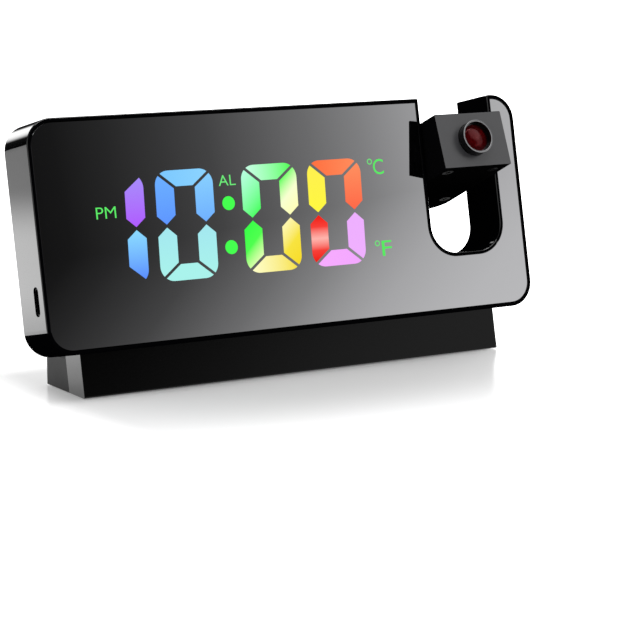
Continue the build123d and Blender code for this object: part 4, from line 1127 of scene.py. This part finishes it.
@dataclass(frozen=True)
class Lacquer(Finish):
    """Lacquered board that mirrors a little, and glows to the eye as the white room does.

    Attributes:
        coat: How much the lacquer mirrors, from 0 to 1.
        coat_roughness: Its roughness.
        near: How far from the origin its glow starts to grow, and its strength there.
        far: How far away it is full, and its strength there.
        base: The base's right end and rear, outside which more glow is added.
        beside: How far outside that is full, and its strength.
        pools: Pools of light on it, for polished surfaces.
        even: How bright they see its rest.
        dusk: Where in front it starts to darken for them, where it has (both y), how far.
    """

    coat: float = 0.7
    coat_roughness: float = 0.2
    near: tuple[float, float] = (42.0, 0.12)
    far: tuple[float, float] = (215.0, 0.9)
    base: tuple[float, float] = (81.6, 28.9)
    beside: tuple[float, float] = (24.0, 0.45)
    pools: tuple[Pool, ...] = (
        Pool(-240.0, 280.0, 350.0, 0.2, 1.1),
        Pool(283.0, -140.0, 90.0, 0.4, 7.0),
    )
    even: float = 0.3
    dusk: tuple[float, float, float] = (-100.0, -230.0, 0.1)

    def glow(self, nodes: Nodes) -> Socket:
        """Adds how strongly the board glows to the eye.

        Args:
            nodes: The material's nodes.

        Returns:
            The strength.
        """
        away = nodes.vectors("LENGTH", nodes.at)
        far = nodes.span(away, *zip(self.near, self.far), smooth=True)
        x, y, _ = nodes.add("SeparateXYZ", {0: nodes.at}).outputs
        place = nodes.add("CombineXYZ", {"X": nodes.maths("ABSOLUTE", x), "Y": y}).outputs[0]
        outside = nodes.vectors("SUBTRACT", place, (*self.base, 0), output="Vector")
        outside = nodes.vectors("MAXIMUM", outside, (0, 0, 0), output="Vector")
        away = nodes.vectors("LENGTH", outside)
        beside = nodes.span(away, *zip((0.0, 0.0), self.beside), smooth=True)
        return nodes.maths("ADD", far, beside)

    def shade(self, nodes: Nodes) -> Socket:
        """See Finish.shade."""
        path = nodes.add("LightPath").outputs
        board = self.surface(nodes, {"Roughness": self.roughness, "Coat Weight": self.coat,
                                     "Coat Roughness": self.coat_roughness})
        by_eye = nodes.maths("MULTIPLY", path["Is Camera Ray"], self.glow(nodes))
        bright = nodes.chain("ADD", self.even, *(pool.light(nodes) for pool in self.pools))
        mirrored = nodes.maths("MULTIPLY", path["Is Glossy Ray"], bright)
        glow = nodes.shader("Emission", {"Strength": nodes.maths("ADD", by_eye, mirrored)})
        y = nodes.add("SeparateXYZ", {0: nodes.at}).outputs["Y"]
        front = nodes.span(y, self.dusk[:2], smooth=True)
        return nodes.shader("MixShader", {
            0: nodes.maths("MULTIPLY", path["Is Glossy Ray"], front),
            1: nodes.shader("AddShader", {0: board, 1: glow}),
            2: nodes.shader("Emission", {"Strength": self.dusk[2]})})


@dataclass(frozen=True)
class Studio:
    """The table, the soft lamp and the room round the clock.

    Attributes:
        ambient: Strength of the room's even light.
        sweep: Azimuth in degrees, and brightness of the room there, for polished surfaces.
        peak: What the sweep's colours are a share of.
        turn: Elevation under which the sweep turns, and degrees it turns for each below that.
        fade: Elevation over which the sweep fades, and its strength there.
        faded: Elevation where it has faded, and its strength there.
        horizon: Strength at the horizon, and the elevation where it is full.
        boxes: Soft patches above the horizon.
        half: Half the table's width, in metres.
        lamp_at: Where the lamp hangs, in metres.
        lamp_aim: What it points at, in metres.
        lamp_size: Its width and height, in metres.
        lamp_power: Its power in watts.
    """

    ambient: float = 0.95
    sweep: tuple[tuple[float, float], ...] = (
        (0.0, 0.09), (10.0, 0.03), (17.0, 0.009),
        (21.0, 0.008), (23.4, 0.011), (24.9, 0.029), (26.4, 0.058), (28.5, 0.118),
        (31.8, 0.34), (33.7, 0.58), (35.2, 0.73), (36.2, 0.80), (38.0, 0.90), (45.0, 1.05),
        (56.0, 0.75), (75.0, 0.35), (110.0, 0.2), (140.0, 0.05), (160.0, 0.03), (210.0, 0.01),
        (235.0, 0.12), (265.0, 0.55), (300.0, 0.6), (335.0, 0.25), (360.0, 0.09))
    peak: float = 1.2
    turn: tuple[float, float] = (12.0, 1.1)
    fade: tuple[float, float] = (16.0, 1.2)
    faded: tuple[float, float] = (34.0, 0.4)
    horizon: tuple[float, float] = (0.2, 8.0)
    boxes: tuple[SoftBox, ...] = (
        SoftBox(181.0, 15.0, 14.0, 2.0, 2.2),
        SoftBox(141.0, 8.0, 20.0, 8.0, 2.0),
        SoftBox(42.0, 42.0, 26.0, 14.0, 1.5),
    )
    half: float = 14.0
    lamp_at: tuple[float, float, float] = (0.1, -0.2, 1.1)
    lamp_aim: tuple[float, float, float] = (0.0, 0.0, 0.03)
    lamp_size: tuple[float, float] = (0.9, 0.7)
    lamp_power: float = 6.0

    def shine(self, nodes: Nodes, towards: Socket) -> Socket:
        """Adds how bright polished surfaces see the room.

        Args:
            nodes: The world's nodes.
            towards: The direction.

        Returns:
            The brightness.
        """
        x, y, z = nodes.add("SeparateXYZ", {0: towards}).outputs
        front = nodes.maths("MULTIPLY", y, -1.0)
        azimuth = nodes.maths("DEGREES", nodes.maths("ARCTAN2", x, front))
        height = nodes.maths("DEGREES", nodes.maths("ARCSINE", z))
        below = nodes.maths("MAXIMUM", nodes.maths("SUBTRACT", self.turn[0], height), 0.0)
        along = nodes.maths("ADD", azimuth, nodes.maths("MULTIPLY", below, self.turn[1]))
        turns = nodes.maths("DIVIDE", along, 360.0)
        ramp = nodes.add("ValToRGB", {"Fac": nodes.maths("FRACT", turns)})
        stops = ramp.color_ramp.elements
        stops.remove(stops[-1])
        for number, (angle, bright) in enumerate(self.sweep):
            stop = stops[0] if number == 0 else stops.new(angle / 360.0)
            stop.position = angle / 360.0
            stop.color = (*(bright / self.peak,) * 3, 1.0)
        fade = nodes.span(height, *zip(self.fade, self.faded))
        low = nodes.span(height, (0.0, self.horizon[1]), (self.horizon[0], 1.0))
        swept = nodes.maths("MULTIPLY", ramp.outputs["Color"], nodes.maths("MULTIPLY", fade, low))
        return nodes.chain("ADD", swept, *(box.light(nodes, towards) for box in self.boxes))

    def room(self) -> None:
        """Builds the world: even light, white to the camera, shaped for polished surfaces."""
        world = bpy.data.worlds.new("studio")
        bpy.context.scene.world = world
        nodes = Nodes(world)
        shine = self.shine(nodes, nodes.add("TexCoord").outputs["Generated"])
        shaped, even, white = (nodes.shader("Background", {"Color": WHITE, "Strength": strength})
                               for strength in (shine, self.ambient, 1.0))
        path = nodes.add("LightPath").outputs
        lit = nodes.shader("MixShader", {0: path["Is Glossy Ray"], 1: even, 2: shaped})
        straight = nodes.maths("MAXIMUM", path["Is Camera Ray"], path["Is Transmission Ray"])
        seen = nodes.shader("MixShader", {0: straight, 1: lit, 2: white})
        nodes.add("OutputWorld", {"Surface": seen})

    def table(self) -> None:
        """Adds the table."""
        mesh = bpy.data.meshes.new("table_top")
        half = self.half
        mesh.from_pydata([(-half, -half, 0), (half, -half, 0), (half, half, 0), (-half, half, 0)],
                         [], [[0, 1, 2, 3]])
        add_object("table_top", mesh)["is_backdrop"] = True
        Lacquer("white_lacquered_board", "DCDCDC", 0.28).put_on_mesh(mesh)

    def lamp(self) -> None:
        """Adds the soft lamp overhead."""
        light = bpy.data.lights.new("overhead_softbox", "AREA")
        light.shape = "RECTANGLE"
        light.size, light.size_y = self.lamp_size
        light.energy = self.lamp_power
        lamp = add_object("overhead_softbox", light)
        lamp.location = self.lamp_at
        lamp.rotation_mode = "QUATERNION"
        aim = Vector(self.lamp_aim) - Vector(self.lamp_at)
        lamp.rotation_quaternion = aim.to_track_quat("-Z", "Y")

    def build(self) -> None:
        """Sets up the whole studio."""
        self.room()
        self.table()
        self.lamp()


@dataclass(frozen=True)
class Viewpoint:
    """The camera, in front of the clock, to its left and a little above it.

    Attributes:
        place: Where it is, in millimetres.
        right: Its right.
        up: Its up.
        back: Away from where it looks.
        lens: Focal length for the sensor.
        sensor: Width of the sensor.
        clip: Nearest and farthest it sees, in metres.
    """

    place: tuple[float, float, float] = (-354.925, -641.740, 140.176)
    right: tuple[float, float, float] = (0.862556, -0.505801, -0.012740)
    up: tuple[float, float, float] = (0.095682, 0.138340, 0.985752)
    back: tuple[float, float, float] = (-0.496832, -0.851485, 0.167722)
    lens: float = 118.99
    sensor: float = 36.0
    clip: tuple[float, float] = (0.01, 50.0)

    def build(self) -> None:
        """Adds the camera and sets the picture up."""
        data = bpy.data.cameras.new("camera")
        data.sensor_width = self.sensor
        data.lens = self.lens
        data.clip_start, data.clip_end = self.clip
        camera = add_object("camera", data)
        turn = Matrix((self.right, self.up, self.back)).transposed().to_4x4()
        camera.matrix_world = Matrix.Translation(Vector(self.place) * MM) @ turn
        bpy.context.scene.camera = camera
        bpy.context.scene.view_settings.view_transform = "Standard"


def corners() -> list[list[float]]:
    """The shown object's lowest and highest corners as plain lists."""
    return [list(corner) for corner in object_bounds()]


def main() -> None:
    """Builds the scene and logs how many pieces each sub-assembly adds."""
    logging.basicConfig(level=logging.INFO, format="%(message)s")
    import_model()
    for assembly in (Housing(), Display(), Electronics(), Controls(), SnoozeBar(), Base(),
                     ProjectorHead()):
        assembly.build()
        assembly.dress()
        LOG.info("%s: %d pieces added", type(assembly).__name__, len(assembly.made))
    Studio().build()
    Viewpoint().build()
    LOG.info("scene ready")


if __name__ == "__main__":
    main()
